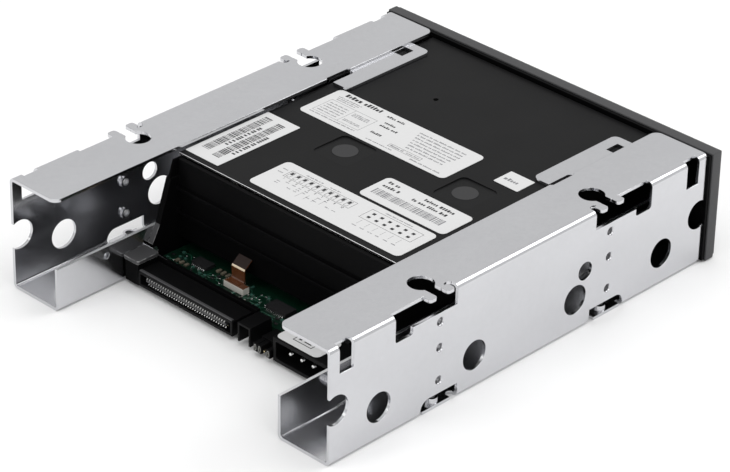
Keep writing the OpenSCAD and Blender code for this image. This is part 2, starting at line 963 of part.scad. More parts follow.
// Thin sheet under the main board
module bottom_plate() {
  color(steel)
    difference() {
      translate([-drive_half + plate_margin, y_drive_front + plate_margin, plate_z])
        cube([drive_w - 2 * plate_margin, drive_len - plate_margin - plate_rear_gap, plate_t]);
      translate([switch_x, switch_y, plate_z - over])
        block([switch_w + 2 * slide_gap, switch_l + 2 * slide_gap, plate_t + 2 * over]);
      for (share = vent_x_shares)
        translate([share * drive_half, y_drive_front + vent_from, plate_z - over])
          long_slot(vent_r, vent_len, plate_t + 2 * over);
    }
}

// Front

module front_bezel() {
  color(charcoal)
    difference() {
      union() {
        translate([0, y_front + (bezel_t + bezel_edge) / 2, bezel_z])
          block([bezel_w, bezel_t - bezel_edge, bezel_h]);
        translate([0, y_front + bezel_edge, bezel_z + bezel_draft])
          block([bezel_w - 2 * bezel_draft, 2 * bezel_edge, bezel_h - 2 * bezel_draft]);
      }
      // Hollow behind the face
      translate([0, y_front + bezel_face_t + bezel_t / 2, bezel_z + bezel_wall])
        block([bezel_w - 2 * bezel_wall, bezel_t, bezel_h - 2 * bezel_wall]);
      // Cartridge slot with a bevelled mouth
      translate([slot_x, y_front + bezel_face_t / 2, slot_z])
        block([slot_w, bezel_face_t + 2 * over, slot_h]);
      translate([slot_x, y_front, slot_z - slot_bevel / 2])
        block([slot_w + slot_bevel, slot_bevel, slot_h + slot_bevel]);
      translate([button_x, y_front + bezel_face_t / 2, button_z - button_h / 2])
        block([button_w, bezel_face_t + 2 * over, button_h]);
      for (i = [0, 1])
        translate([lens_x + i * lens_gap, y_front + bezel_face_t / 2, lens_z - lens_h / 2])
          block([lens_w, bezel_face_t + 2 * over, lens_h]);
    }
}

// Black frame between the front face and the chassis; it carries the door's pin
module front_frame() {
  back_y = y_front + bezel_t + seat_gap;
  color(black)
    difference() {
      union() {
        translate([0, back_y + frame_t / 2, bezel_z + frame_inset])
          block([bezel_w - 2 * frame_inset, frame_t, bezel_h - 2 * frame_inset]);
        for (side = [-1, 1])
          translate([side * (slot_w / 2 + 2 * lug_w / 3), (hinge_y + back_y) / 2,
                     hinge_z - hinge_knuckle_r])
            block([lug_w, back_y - hinge_y + 2 * hinge_knuckle_r, 2 * hinge_knuckle_r]);
      }
      translate([slot_x, back_y + frame_t / 2, slot_z - slide_gap])
        block([slot_w + 2 * slide_gap, frame_t + 2 * over, hinge_z + hinge_knuckle_r + slide_gap - slot_z]);
      translate([button_x, back_y + frame_t / 2, button_z - button_h / 2 - button_room])
        block([button_w + 2 * button_room, frame_t + 2 * over, button_h + 2 * button_room]);
      for (i = [0, 1])
        translate([lens_x + i * lens_gap, back_y + frame_t / 2, lens_z - lens_h / 2])
          block([lens_w, frame_t + 2 * over, lens_h]);
      translate([0, hinge_y, hinge_z])
        bar_x(hinge_pin_r, slot_w + 6 * lug_w);
    }
}

module cartridge_door() {
  color(charcoal)
    difference() {
      union() {
        translate([slot_x, door_y + door_t / 2, slot_z + door_gap])
          block([slot_w - 2 * door_gap, door_t, slot_h - 2 * door_gap]);
        for (side = [-1, 1])
          translate([side * (slot_w / 2 - hinge_knuckle_len), 0, 0]) {
            translate([0, hinge_y, hinge_z])
              bar_x(hinge_knuckle_r, hinge_knuckle_len);
            translate([0, hinge_y - hinge_knuckle_r / 2, slot_z + slot_h - door_gap - knuckle_web])
              block([hinge_knuckle_len, hinge_knuckle_r, hinge_rise + door_gap + knuckle_web]);
          }
      }
      translate([0, hinge_y, hinge_z])
        bar_x(hinge_pin_r + running_gap, slot_w);
    }
}

module door_pin() {
  color(steel)
    translate([0, hinge_y, hinge_z])
      bar_x(hinge_pin_r, slot_w + 2 * lug_w);
}

module eject_button() {
  color(charcoal) {
    translate([button_x, y_front + button_in + button_len / 2, button_z - button_h / 2 + button_gap])
      block([button_w - 2 * button_gap, button_len, button_h - 2 * button_gap]);
    translate([button_x, y_front + bezel_face_t + slide_gap + button_flange / 2,
               button_z - button_h / 2 - button_gap])
      block([button_w + 2 * button_gap, button_flange, button_h + 2 * button_gap]);
  }
}

module indicator_lenses() {
  for (i = [0, 1])
    color(i == 0 ? [0.2, 0.7, 0.2] : [0.8, 0.6, 0.1])
      translate([lens_x + i * lens_gap, y_front + lens_in + lens_len / 2, lens_z - lens_h / 2 + seat_gap])
        block([lens_w - 2 * seat_gap, lens_len, lens_h - 2 * seat_gap]);
}

// Small board behind the front face, with the eject switch and two lamps
module front_board() {
  board_front = front_board_y - front_board_t / 2;
  tact_len = board_front - (y_front + button_in + button_len) - button_travel - tact_gap;
  lamp_len = board_front - (y_front + lens_in + lens_len) - seat_gap;
  color([0.1, 0.35, 0.2])
    translate([0, front_board_y, button_z - front_board_h / 2])
      block([front_board_w, front_board_t, front_board_h]);
  color("silver")
    translate([button_x, board_front - tact_len / 2 + seat_gap, button_z - tact_h / 2])
      block([tact_w, tact_len, tact_h]);
  color("white")
    for (i = [0, 1])
      translate([lens_x + i * lens_gap, board_front - lamp_len / 2 + seat_gap, lens_z - lens_h / 2])
        block([lamp_w, lamp_len, lens_h]);
}

// Electronics at the bottom and the rear

module main_board() {
  front = y_drive_front + board_front_gap;
  rear = y_drive_rear - board_rear_gap;
  color([0.05, 0.3, 0.15])
    difference() {
      translate([0, (front + rear) / 2, board_top - board_t])
        block([2 * (wall_in - board_side_gap), rear - front, board_t]);
      for (x = [-1, 1], y = [front + board_hole_in[1], rear - board_hole_in[2]])
        translate([x * (wall_in - board_hole_in[0]), y, board_top - 2 * board_t])
          cylinder(r = board_hole_r, h = 3 * board_t, $fn = fine);
      // Notch that the power connector stands in
      translate([power_x, y_drive_rear - power_len + power_len / 2 - seat_gap, board_top - 2 * board_t])
        block([power_w + 4 * seat_gap, power_len + 2 * seat_gap, 3 * board_t]);
    }
}

// Each chip as shares of the drive's half width, length, width, width and of the board's thickness
function chip_shares() = [
  [-0.08, 0.3, 0.09, 0.05, 0.9],
  [0.67, 0.29, 0.07, 0.04, 0.8],
  [-0.62, 0.3, 0.06, 0.035, 0.75],
  [0.4, 0.08, 0.2, 0.2, 1.4],
  [-0.43, -0.07, 0.24, 0.24, 1.4],
  [0.3, -0.32, 0.14, 0.09, 1],
  [-0.55, 0.16, 0.12, 0.08, 1]];

module board_chips() {
  color(black)
    for (c = chip_shares())
      translate([c[0] * drive_half, c[1] * drive_len, board_top + seat_gap])
        block([c[2] * drive_w, c[3] * drive_w, c[4] * board_t]);
}

// Small parts on the board, in rows beside the chips in the open rear bay
module board_parts() {
  color([0.72, 0.66, 0.55]) {
    for (row = part_row_shares)
      for (i = [0 : row[2] - 1])
        translate([(row[0] - i * part_pitch_share) * drive_half, y_cover_rear + part_back * row[1],
                   board_top + seat_gap])
          block(part_size * row[3]);
    translate([can_x, y_cover_rear + part_back * 2, board_top + seat_gap])
      cylinder(r = can_r, h = can_h, $fn = fine);
  }
}

// Black moulding along the rear edge, with the raised block at its right end
module rear_housing() {
  right = drive_half - seat_gap;
  left = port_x - port_w / 2 - housing_over_board;
  inner = wall_in - 2 * seat_gap;
  front = y_drive_rear - housing_depth;
  floor_z = board_top + seat_gap;
  foot_z = plate_z + plate_t + seat_gap;
  color(black) {
    // Ridge across the board, ahead of the connectors
    translate([left, front, floor_z])
      cube([inner - left, housing_depth - port_len - seat_gap, housing_top - floor_z]);
    // Corner block: a body, and a cap with round corners
    translate([right - ear_w / 2, y_drive_rear - (board_rear_gap - ear_out) / 2, foot_z])
      block([ear_w - ear_neck, board_rear_gap + ear_out - ear_neck,
             ear_top - ear_cap_t - foot_z + seat_gap]);
    translate([right - ear_w / 2, y_drive_rear + ear_out - ear_len / 2, ear_top - ear_cap_t])
      round_plate(ear_w, ear_len, ear_cap_t, ear_round);
  }
}

// Shrouded 68-way connector: an open-backed shell round a tongue
module interface_connector() {
  color([0.05, 0.05, 0.055])
    translate([port_x, y_drive_rear - port_len / 2, port_z]) {
      difference() {
        block([port_w, port_len, port_h]);
        translate([0, port_wall * 2, port_wall])
          block([port_w - 2 * port_wall, port_len, port_h - 2 * port_wall]);
      }
      translate([0, -port_wall / 2, (port_h - port_tongue_h) / 2])
        block([port_w - 6 * port_wall, port_len - 2 * port_wall, port_tongue_h]);
    }
}

// Two rows of contacts on the faces of the tongue
module interface_pins() {
  pitch = (port_w - 8 * port_wall) / (port_pin_count - 1);
  mid_z = port_z + port_h / 2;
  back = y_drive_rear - port_len + 2 * port_wall + seat_gap;
  color([0.8, 0.7, 0.4])
    for (row = [-1, 1], i = [0 : port_pin_count - 1])
      translate([port_x + (i - (port_pin_count - 1) / 2) * pitch, back + port_pin_len / 2,
                 mid_z + row * (port_tongue_h / 2 + seat_gap + port_pin_t / 2) - port_pin_t / 2])
        block([port_pin_w, port_pin_len, port_pin_t]);
}

// A tall housing over two pins, and a low block with four
module jumper_header() {
  back = y_drive_rear - jumper_depth;
  color([0.05, 0.05, 0.055]) {
    // Tall housing, open to the rear and below
    translate([jumper_big_x - jumper_big[0] / 2, back + jumper_depth / 2, jumper_z])
      difference() {
        block([jumper_big[0], jumper_depth, jumper_big[1]]);
        translate([0, 2 * jumper_wall, -over])
          block([jumper_big[0] - 2 * jumper_wall, jumper_depth, jumper_big[1] - jumper_wall + over]);
      }
    // Low header block that four pins stand out of
    translate([jumper_low_x - jumper_low[0] / 2, back + jumper_low_depth / 2, jumper_z])
      block([jumper_low[0], jumper_low_depth, jumper_low[1]]);
  }
}

// Each pin: place across and height
function jumper_places() = concat(
  [for (i = [0, 1])
    [jumper_big_x - jumper_big[0] / 2, jumper_z + jumper_first[1] + i * jumper_pitch]],
  [for (i = [0 : 3])
    [jumper_low_x - jumper_first[0] - i * jumper_pitch, jumper_z + jumper_low[1] / 2]]);

module jumper_pins() {
  back = y_drive_rear - jumper_depth;
  color([0.8, 0.7, 0.4])
    for (i = [0 : 5])
      let (p = jumper_places()[i], base = (i < 2) ? 2 * jumper_wall : jumper_low_depth)
        translate([p[0], back + base + seat_gap + jumper_pin_len / 2, p[1] - jumper_pin_w / 2])
          block([jumper_pin_w, jumper_pin_len, jumper_pin_w]);
}

// Push-on links over three of the pins
module jumper_shunts() {
  front = y_drive_rear - jumper_depth + jumper_low_depth + shunt_gap;
  color([0.12, 0.12, 0.13])
    for (i = [2, 3, 5])
      let (p = jumper_places()[i])
        translate([p[0], front + shunt_len / 2, p[1] - shunt_h / 2])
          difference() {
            block([shunt_w, shunt_len, shunt_h]);
            translate([0, 0, (shunt_h - jumper_pin_w) / 2 - seat_gap])
              block([jumper_pin_w + 2 * seat_gap, shunt_len + over, jumper_pin_w + 2 * seat_gap]);
          }
}

module power_connector() {
  h = power_top - power_z;
  color([0.05, 0.05, 0.055])
    translate([power_x, y_drive_rear - power_len / 2, power_z])
      difference() {
        block([power_w, power_len, h]);
        translate([0, power_len - power_cavity, power_wall])
          block([power_w - 2 * power_wall, power_len, h - 2 * power_wall]);
        for (i = [0 : 3])
          translate([(i - 1.5) * power_pitch, 0, power_pin_z - power_z])
            bar_y(power_pin_r, 2 * power_len);
      }
}

module power_pins() {
  back = y_drive_rear - power_cavity - power_wall;
  shank_r = power_pin_r - seat_gap / 2;
  color([0.8, 0.8, 0.78])
    for (i = [0 : 3])
      translate([power_x + (i - 1.5) * power_pitch, back, power_pin_z])
        rotate([-90, 0, 0]) {
          cylinder(r = shank_r, h = power_pin_len - power_pin_tip, $fn = fine);
          translate([0, 0, power_pin_len - power_pin_tip])
            cylinder(r1 = shank_r, r2 = shank_r / 2, h = power_pin_tip, $fn = fine);
        }
}

module flex_socket() {
  color([0.92, 0.9, 0.85])
    translate([flex_x, flex_y, board_top + seat_gap])
      difference() {
        block([flex_socket_w, flex_socket_l, flex_socket_h]);
        translate([flex_shift, -flex_rim, flex_socket_h - flex_t - seat_gap])
          block([flex_w + 2 * seat_gap, flex_socket_l, flex_socket_h]);
      }
}

function arc_points(at, r, from, to) = [
  for (i = [0 : flex_steps])
    let (turn = from + (to - from) * i / flex_steps)
      at + r * [cos(turn), sin(turn)]];

function beside(line, d) = [
  for (i = [0 : len(line) - 1])
    let (way = line[min(i + 1, len(line) - 1)] - line[max(i - 1, 0)])
      line[i] + d * [-way[1], way[0]] / norm(way)];

function turned_back(line) = [for (i = [1 : len(line)]) line[len(line) - i]];

// Middle line of the flex, ahead of the socket and up: flat on the socket, up, and to the wall
function flex_line() =
  let (low = board_top + seat_gap + flex_socket_h - flex_t / 2,
       knee = low + flex_rise,
       end = flex_y - rear_wall_y - rear_wall_t - flex_t / 2,
       first = arc_points([flex_run - flex_bend, low + flex_bend], flex_bend, -90, 0),
       second = arc_points([flex_run + flex_bend, knee], flex_bend, 180, 90 + flex_slope),
       last = second[flex_steps])
    concat([[flex_rim + seat_gap - flex_socket_l / 2, low]], first, second,
           [[end, last[1] + (end - last[0]) * tan(flex_slope)]]);

module flex_cable() {
  color([0.45, 0.24, 0.12])
    translate([flex_x + flex_shift + flex_w / 2, flex_y, 0])
      rotate([90, 0, -90])
        linear_extrude(flex_w)
          polygon(concat(beside(flex_line(), flex_t / 2),
                         turned_back(beside(flex_line(), -flex_t / 2))));
}

// Mechanism

// Cast deck with openings for the drum, the reels and the boats' rails
module mech_deck() {
  bottom = deck_top - deck_t;
  color([0.6, 0.61, 0.63]) {
    difference() {
      union() {
        translate([0, (deck_front + deck_rear) / 2, bottom])
          block([2 * deck_half, deck_rear - deck_front, deck_t]);
        for (side = [-1, 1])
          translate([side * bearing_x, sync_y, bottom])
            block([bearing_t, bearing_w, sync_z + sync_r + bearing_wall - bottom]);
      }
      for (side = [-1, 1])
        rail(side, bottom - over, deck_t + 2 * over);
      translate([drum_at[0], drum_at[1], bottom - over])
        cylinder(r = drum_hub_r + hole_room, h = deck_t + 2 * over, $fn = fine);
      translate([capstan_at[0], capstan_at[1], bottom - over])
        cylinder(r = capstan_r + capstan_bush + seat_gap, h = deck_t + 2 * over, $fn = fine);
      for (at = post_places())
        translate([at[0], at[1], bottom - over])
          cylinder(r = at[2], h = deck_t + 2 * over, $fn = fine);
      translate([0, sync_y, sync_z])
        bar_x(sync_r + running_gap, 3 * bearing_x);
      for (at = deck_screw_places())
        translate([at[0], at[1], bottom - over])
          cylinder(r = lip_screw_r + running_gap, h = deck_t + 2 * over, $fn = fine);
      // Clearance under the sync gears
      for (side = [-1, 1])
        translate([side * cam_x, sync_y, bottom - over])
          block([2 * gear_face + gear_room[0], gear_room[1], deck_t + 2 * over - gear_room[2]]);
      translate([0, deck_front + deck_window_from, bottom - over])
        round_plate(deck_window[0], deck_window[1], deck_t + 2 * over, deck_window[2]);
    }
  }
}

// Slot along the path of a boat; side is -1 for the supply side
module rail(side, z, h) {
  mid = (boat_start + boat_end) / 2;
  translate([side * mid[0], mid[1], z])
    rotate(side * boat_turn)
      long_slot(keel_w / 2 + rail_gap, boat_travel + keel_l + 2 * rail_gap, h);
}

// Each post: place, radius and height above the deck
function post_places() = [
  [-reel_gap / 2, reel_y, reel_post_r, reel_post_h],
  [reel_gap / 2, reel_y, reel_post_r, reel_post_h],
  [pinch_at[0], pinch_at[1], pinch_post_r, pinch_post_h],
  [tension_at[0], tension_at[1], pinch_post_r, tension_post_h]];

// Steel posts pressed into the deck
module deck_posts() {
  color(steel)
    for (at = post_places())
      translate([at[0], at[1], deck_top - deck_t])
        cylinder(r = at[2], h = deck_t + at[3], $fn = fine);
}

// Side plates with the upright slots that guide the basket, tied over the top
module loading_frame() {
  len = loading_rear - loading_front;
  mid = (loading_rear + loading_front) / 2;
  color([0.66, 0.67, 0.69]) {
    for (side = [-1, 1])
      difference() {
        union() {
          translate([side * loading_x, mid, deck_top + seat_gap])
            block([loading_t, len, loading_top - deck_top - seat_gap]);
          translate([side * (loading_x + loading_foot_w / 2 - loading_t / 2), mid, deck_top + seat_gap])
            block([loading_foot_w, len - 2 * loading_foot_in, loading_t]);
        }
        for (y = basket_pins_y)
          translate([side * loading_x, y, basket_pin_z]) {
            bar_x(basket_pin_r + slide_gap, 3 * loading_t);
            translate([0, 0, -basket_drop])
              bar_x(basket_pin_r + slide_gap, 3 * loading_t);
            translate([0, 0, -basket_drop / 2])
              cube([3 * loading_t, 2 * (basket_pin_r + slide_gap), basket_drop], center = true);
          }
      }
    for (y = [loading_front, loading_rear - loading_tie_w])
      translate([-loading_x - loading_t / 2, y, loading_top - loading_tie_t])
        cube([2 * loading_x + loading_t, loading_tie_w, loading_tie_t]);
  }
}

// Upright cam plate; its slanted slots pull the basket down as it slides back
module cam_plate(side) {
  slant = atan2(basket_drop, cam_travel);
  slot_len = norm([basket_drop, cam_travel]);
  difference() {
    rotate([90, 0, 90])
      translate([0, 0, side * cam_x - cam_t / 2])
        linear_extrude(cam_t) {
          difference() {
            translate([cam_front, cam_low])
              square([cam_back - cam_front, cam_high - cam_low]);
            translate([cam_front + cam_cut_from + cam_travel, cam_low - over])
              square(cam_cut);
          }
          polygon(concat(
            [[cam_back - cam_leg, rack_low], [rack_rear, rack_low], [rack_rear, rack_root_z]],
            [for (i = [0 : rack_teeth - 1])
              each rack_tooth(rack_rear - (i + 0.5) * gear_pitch - rack_shift(), rack_root_z)],
            [[cam_back, rack_root_z], [cam_back, cam_low + cam_leg],
              [cam_back - cam_leg, cam_low + cam_leg]]));
        }
    for (y = basket_pins_y)
      translate([side * cam_x, y, basket_pin_z])
        for (end = [0, 1]) {
          translate([0, -end * cam_travel, -end * basket_drop])
            bar_x(cam_slot_r, 3 * cam_t);
          translate([0, -cam_travel / 2, -basket_drop / 2])
            rotate([slant, 0, 0])
              cube([3 * cam_t, slot_len, 2 * cam_slot_r], center = true);
        }
  }
}

// Moves the rack so that a gap between teeth meets the gear at rest
function rack_shift() = (rack_rear - sync_y) - gear_pitch * round((rack_rear - sync_y) / gear_pitch);

module cam_plate_left() {
  color(steel)
    cam_plate(-1);
}

module cam_plate_right() {
  color(steel)
    cam_plate(1);
}

// Cradle for the cartridge, open below, with two pins on each side
module cartridge_basket() {
  inner = cartridge_w / 2 + basket_side_gap;
  len = basket_back - basket_front;
  mid = (basket_back + basket_front) / 2;
  pin_len = loading_x + loading_t - inner;
  color([0.55, 0.56, 0.58]) {
    for (side = [-1, 1]) {
      translate([side * (inner + basket_t / 2), mid, basket_low])
        block([basket_t, len, basket_inner_h + 2 * basket_t]);
      translate([side * (inner + basket_t - basket_lip / 2), mid, basket_low])
        block([basket_lip, len, basket_t]);
      for (y = basket_pins_y)
        translate([side * (inner + pin_len / 2), y, basket_pin_z])
          bar_x(basket_pin_r, pin_len - basket_pin_gap);
    }
    difference() {
      translate([0, mid, basket_low + basket_t + basket_inner_h])
        block([2 * (inner + basket_t), len, basket_t]);
      translate([0, mid - basket_window_in, basket_low + basket_inner_h - over])
        round_plate(basket_window[0], basket_window[1], 3 * basket_t + over, basket_window[2]);
    }
  }
}

// Shaft that keeps the two cam plates in step, with a gear at each end
module sync_shaft() {
  color([0.75, 0.72, 0.6]) {
    translate([0, sync_y, sync_z])
      bar_x(sync_r, 2 * cam_x + gear_face);
    for (side = [-1, 1])
      translate([side * cam_x - gear_face / 2, sync_y, sync_z])
        rotate([90, 0, 90])
          linear_extrude(gear_face)
            rotate(-90)
              gear_outline(gear_teeth, pitch_r);
  }
}

module loading_motor() {
  color([0.62, 0.62, 0.6])
    difference() {
      union() {
        translate([motor_x + motor_len / 2, pinion_y, pinion_z])
          intersection() {
            bar_x(motor_r, motor_len);
            cube([motor_len, 2 * motor_r, motor_flat], center = true);
          }
        translate([motor_x + motor_len + motor_boss_h / 2, pinion_y, pinion_z])
          bar_x(motor_boss_r, motor_boss_h);
        // Foot that holds the motor on the deck
        translate([motor_x + motor_len / 2, pinion_y, deck_top + seat_gap])
          block([motor_len * 0.6, motor_r * 1.6, pinion_z - motor_flat / 2 - deck_top]);
      }
      translate([motor_x + motor_len, pinion_y, pinion_z])
        bar_x(motor_shaft_r + running_gap, 4 * motor_boss_h);
    }
}

module motor_pinion() {
  color([0.85, 0.83, 0.75]) {
    translate([cam_x - gear_face / 2, pinion_y, pinion_z])
      rotate([90, 0, 90])
        linear_extrude(gear_face)
          rotate(180 + mesh_turn)
            gear_outline(pinion_teeth, pinion_r);
    translate([(motor_x + motor_len + cam_x) / 2, pinion_y, pinion_z])
      bar_x(motor_shaft_r, cam_x - motor_x - motor_len + gear_face);
  }
}

// Turntable that drives one spool of the cartridge
module reel(side) {
  translate([side * reel_gap / 2, reel_y, deck_top + boat_lift])
    difference() {
      union() {
        cylinder(r = reel_disc_r, h = reel_disc_h, $fn = smooth);
        cylinder(r = reel_hub_r, h = reel_disc_h + reel_hub_h, $fn = fine);
        for (i = [0 : reel_teeth - 1])
          rotate(i * 360 / reel_teeth)
            translate([reel_hub_r / 2 + reel_tooth_out / 2, 0, reel_disc_h])
              block([reel_hub_r + reel_tooth_out, reel_tooth_w, reel_hub_h - reel_tooth_drop]);
      }
      translate([0, 0, -over])
        cylinder(r = reel_post_r + running_gap, h = reel_disc_h + reel_hub_h + 2 * over, $fn = fine);
    }
}

module supply_reel() {
  color([0.2, 0.2, 0.22])
    reel(-1);
}

module takeup_reel() {
  color([0.2, 0.2, 0.22])
    reel(1);
}

// Sliding carrier that draws the tape round the drum
module boat(side) {
  translate([side * boat_start[0], boat_start[1], deck_top + boat_lift])
    rotate(side * boat_turn) {
      round_plate(boat_w, boat_l, boat_h, boat_round);
      translate([0, 0, -boat_lift - keel_h])
        long_slot(keel_w / 2, keel_l - keel_w, keel_h + boat_lift + over);
      cylinder(r = guide_post_r, h = boat_h + guide_h + 2 * slide_gap + guide_cap_h, $fn = fine);
      translate([0, 0, boat_h + guide_h + 2 * slide_gap])
        cylinder(r = guide_cap_r, h = guide_cap_h, $fn = fine);
    }
}

module supply_boat() {
  color(steel)
    boat(-1);
}

module takeup_boat() {
  color(steel)
    boat(1);
}

// Guide roller on a boat's post
module guide(side) {
  translate([side * boat_start[0], boat_start[1], deck_top + boat_lift + boat_h + slide_gap])
    difference() {
      cylinder(r = guide_r, h = guide_h, $fn = fine);
      translate([0, 0, -over])
        cylinder(r = guide_post_r + running_gap, h = guide_h + 2 * over, $fn = fine);
    }
}

module supply_guide() {
  color([0.85, 0.85, 0.86])
    guide(-1);
}

module takeup_guide() {
  color([0.85, 0.85, 0.86])
    guide(1);
}

// Fixed lower drum on its foot, with the bearing bore of the head drum
module drum_base() {
  color([0.78, 0.79, 0.8])
    translate([drum_at[0], drum_at[1], deck_top])
      difference() {
        union() {
          translate([0, 0, seat_gap])
            cylinder(r = drum_base_r, h = drum_base_h + drum_step, $fn = smooth);
          translate([0, 0, drum_base_h])
            rotate([drum_tilt, 0, 0])
              translate([0, 0, drum_r * sin(drum_tilt) - over])
                cylinder(r = drum_r, h = drum_low_h - drum_r * sin(drum_tilt) + over, $fn = smooth);
          translate([0, 0, -deck_t + drum_foot_lift])
            cylinder(r = drum_hub_r, h = deck_t, $fn = fine);
        }
        translate([0, 0, drum_base_h])
          rotate([drum_tilt, 0, 0])
            translate([0, 0, drum_bore_from])
              cylinder(r = drum_shaft_r + running_gap, h = drum_low_h + over, $fn = fine);
      }
}

// Spinning upper drum with its head windows and its shaft
module head_drum() {
  color([0.88, 0.89, 0.9])
    translate([drum_at[0], drum_at[1], deck_top + drum_base_h])
      rotate([drum_tilt, 0, 0]) {
        translate([0, 0, drum_low_h + drum_gap])
          difference() {
            cylinder(r = drum_r, h = drum_up_h, $fn = smooth);
            for (turn = [0, 90, 180, 270])
              rotate(turn)
                translate([drum_r, 0, -over])
                  block([drum_window[0], drum_window[1], drum_window[2] + over]);
            translate([0, 0, drum_up_h - drum_rim_h])
              cylinder(r = drum_r - drum_rim_w, h = drum_rim_h + over, $fn = smooth);
          }
        translate([0, 0, drum_low_h + drum_gap + drum_up_h - drum_rim_h - over])
          cylinder(r = drum_hub_r, h = drum_step + over, $fn = fine);
        translate([0, 0, drum_shaft_from])
          cylinder(r = drum_shaft_r, h = drum_low_h + drum_gap, $fn = fine);
      }
}

module capstan_base() {
  color([0.3, 0.3, 0.32])
    translate([capstan_at[0], capstan_at[1], deck_top])
      difference() {
        union() {
          translate([0, 0, seat_gap])
            cylinder(r = capstan_base_r, h = capstan_base_h, $fn = smooth);
          translate([0, 0, -deck_t])
            cylinder(r = capstan_r + capstan_bush, h = deck_t + over, $fn = fine);
        }
        translate([0, 0, -deck_t - over])
          cylinder(r = capstan_r + running_gap, h = deck_t + capstan_base_h + 2 * over, $fn = fine);
      }
}

module capstan() {
  color(steel)
    translate([capstan_at[0], capstan_at[1], 0]) {
      translate([0, 0, deck_top - deck_t + capstan_foot])
        cylinder(r = capstan_r, h = capstan_rise + deck_t - capstan_foot, $fn = fine);
      translate([0, 0, deck_top + capstan_base_h + slide_gap])
        cylinder(r = flywheel_r, h = flywheel_h, $fn = smooth);
    }
}

function pinch_tip() = pinch_at + pinch_len * [cos(pinch_rest), sin(pinch_rest)];

// Arm that swings the pinch roller against the capstan
module pinch_arm() {
  color([0.5, 0.5, 0.52])
    difference() {
      union() {
        translate([pinch_at[0], pinch_at[1], pinch_arm_z]) {
          cylinder(r = pinch_hub_r, h = pinch_arm_t, $fn = fine);
          rotate(pinch_rest)
            translate([pinch_len / 2, 0, 0])
              block([pinch_len, pinch_arm_w, pinch_arm_t]);
        }
        translate([pinch_tip()[0], pinch_tip()[1], pinch_arm_z]) {
          cylinder(r = arm_end_r, h = pinch_arm_t, $fn = fine);
          cylinder(r = pinch_axle_r, h = pinch_arm_t + pinch_h + 3 * slide_gap, $fn = fine);
        }
      }
      translate([pinch_at[0], pinch_at[1], pinch_arm_z - over])
        cylinder(r = pinch_post_r + running_gap, h = pinch_arm_t + 2 * over, $fn = fine);
    }
}

module pinch_roller() {
  color([0.1, 0.1, 0.1])
    translate([pinch_tip()[0], pinch_tip()[1], pinch_arm_z + pinch_arm_t + slide_gap])
      difference() {
        cylinder(r = pinch_r, h = pinch_h, $fn = fine);
        translate([0, 0, -over])
          cylinder(r = pinch_axle_r + running_gap, h = pinch_h + 2 * over, $fn = fine);
      }
}

// Arm that keeps the tape taut on the supply side
module tension_arm() {
  vec = tension_end - tension_at;
  color([0.5, 0.5, 0.52])
    difference() {
      union() {
        translate([tension_at[0], tension_at[1], deck_top + boat_lift]) {
          cylinder(r = tension_hub_r, h = tension_arm_t, $fn = fine);
          rotate(atan2(vec[1], vec[0]))
            translate([norm(vec) / 2, 0, 0])
              block([norm(vec), tension_arm_w, tension_arm_t]);
        }
        translate([tension_end[0], tension_end[1], deck_top + boat_lift]) {
          cylinder(r = arm_end_r, h = tension_arm_t, $fn = fine);
          cylinder(r = tension_post_r, h = tension_arm_t + guide_h + tension_extra, $fn = fine);
        }
      }
      translate([tension_at[0], tension_at[1], deck_top])
        cylinder(r = pinch_post_r + running_gap, h = tension_arm_t + over + boat_lift, $fn = fine);
    }
}

// Option switch under the main board, with one well a lever
module switch_body() {
  top = board_top - board_t - seat_gap;
  color([0.15, 0.25, 0.55])
    translate([switch_x, switch_y, top - switch_h])
      difference() {
        block([switch_w, switch_l, switch_h]);
        for (i = [1 : lever_count])
          translate([lever_x(i), 0, -over])
            block([lever_w + 2 * lever_groove, lever_l + lever_travel + 2 * lever_groove,
                   lever_h_share * switch_h + over]);
      }
}

function lever_x(i) = (i - (lever_count + 1) / 2) * lever_pitch;

module switch_lever(i) {
  top = board_top - board_t - seat_gap;
  color([0.9, 0.9, 0.88])
    translate([switch_x + lever_x(i), switch_y - lever_travel / 2, top - switch_h - lever_proud])
      block([lever_w, lever_l, lever_h_share * switch_h]);
}

// One line for each sub-part
left_bracket();
right_bracket();
screws();
chassis();
top_cover();
labels();
bottom_plate();
front_bezel();
front_frame();
cartridge_door();
door_pin();
eject_button();
indicator_lenses();
front_board();
main_board();
board_chips();
board_parts();
rear_housing();
interface_connector();
interface_pins();
jumper_header();
jumper_pins();
jumper_shunts();
power_connector();
power_pins();
flex_socket();
flex_cable();
mech_deck();
deck_posts();
loading_frame();
cam_plate_left();
cam_plate_right();
cartridge_basket();
sync_shaft();
loading_motor();
motor_pinion();
supply_reel();
takeup_reel();
supply_boat();
takeup_boat();
supply_guide();
takeup_guide();
drum_base();
head_drum();
capstan_base();
capstan();
pinch_arm();
pinch_roller();
tension_arm();
switch_body();
for (i = [1 : lever_count])
  switch_lever(i);
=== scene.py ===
# %% [markdown]
# # A half-height tape drive in its side brackets
# The imported CAD model is the fixed frame of this scene: every piece below is placed by it, in
# metres, and moves with one of its bodies. The frame comes first.

import json
import math
import random

import bmesh
import bpy
from mathutils import Matrix, Vector


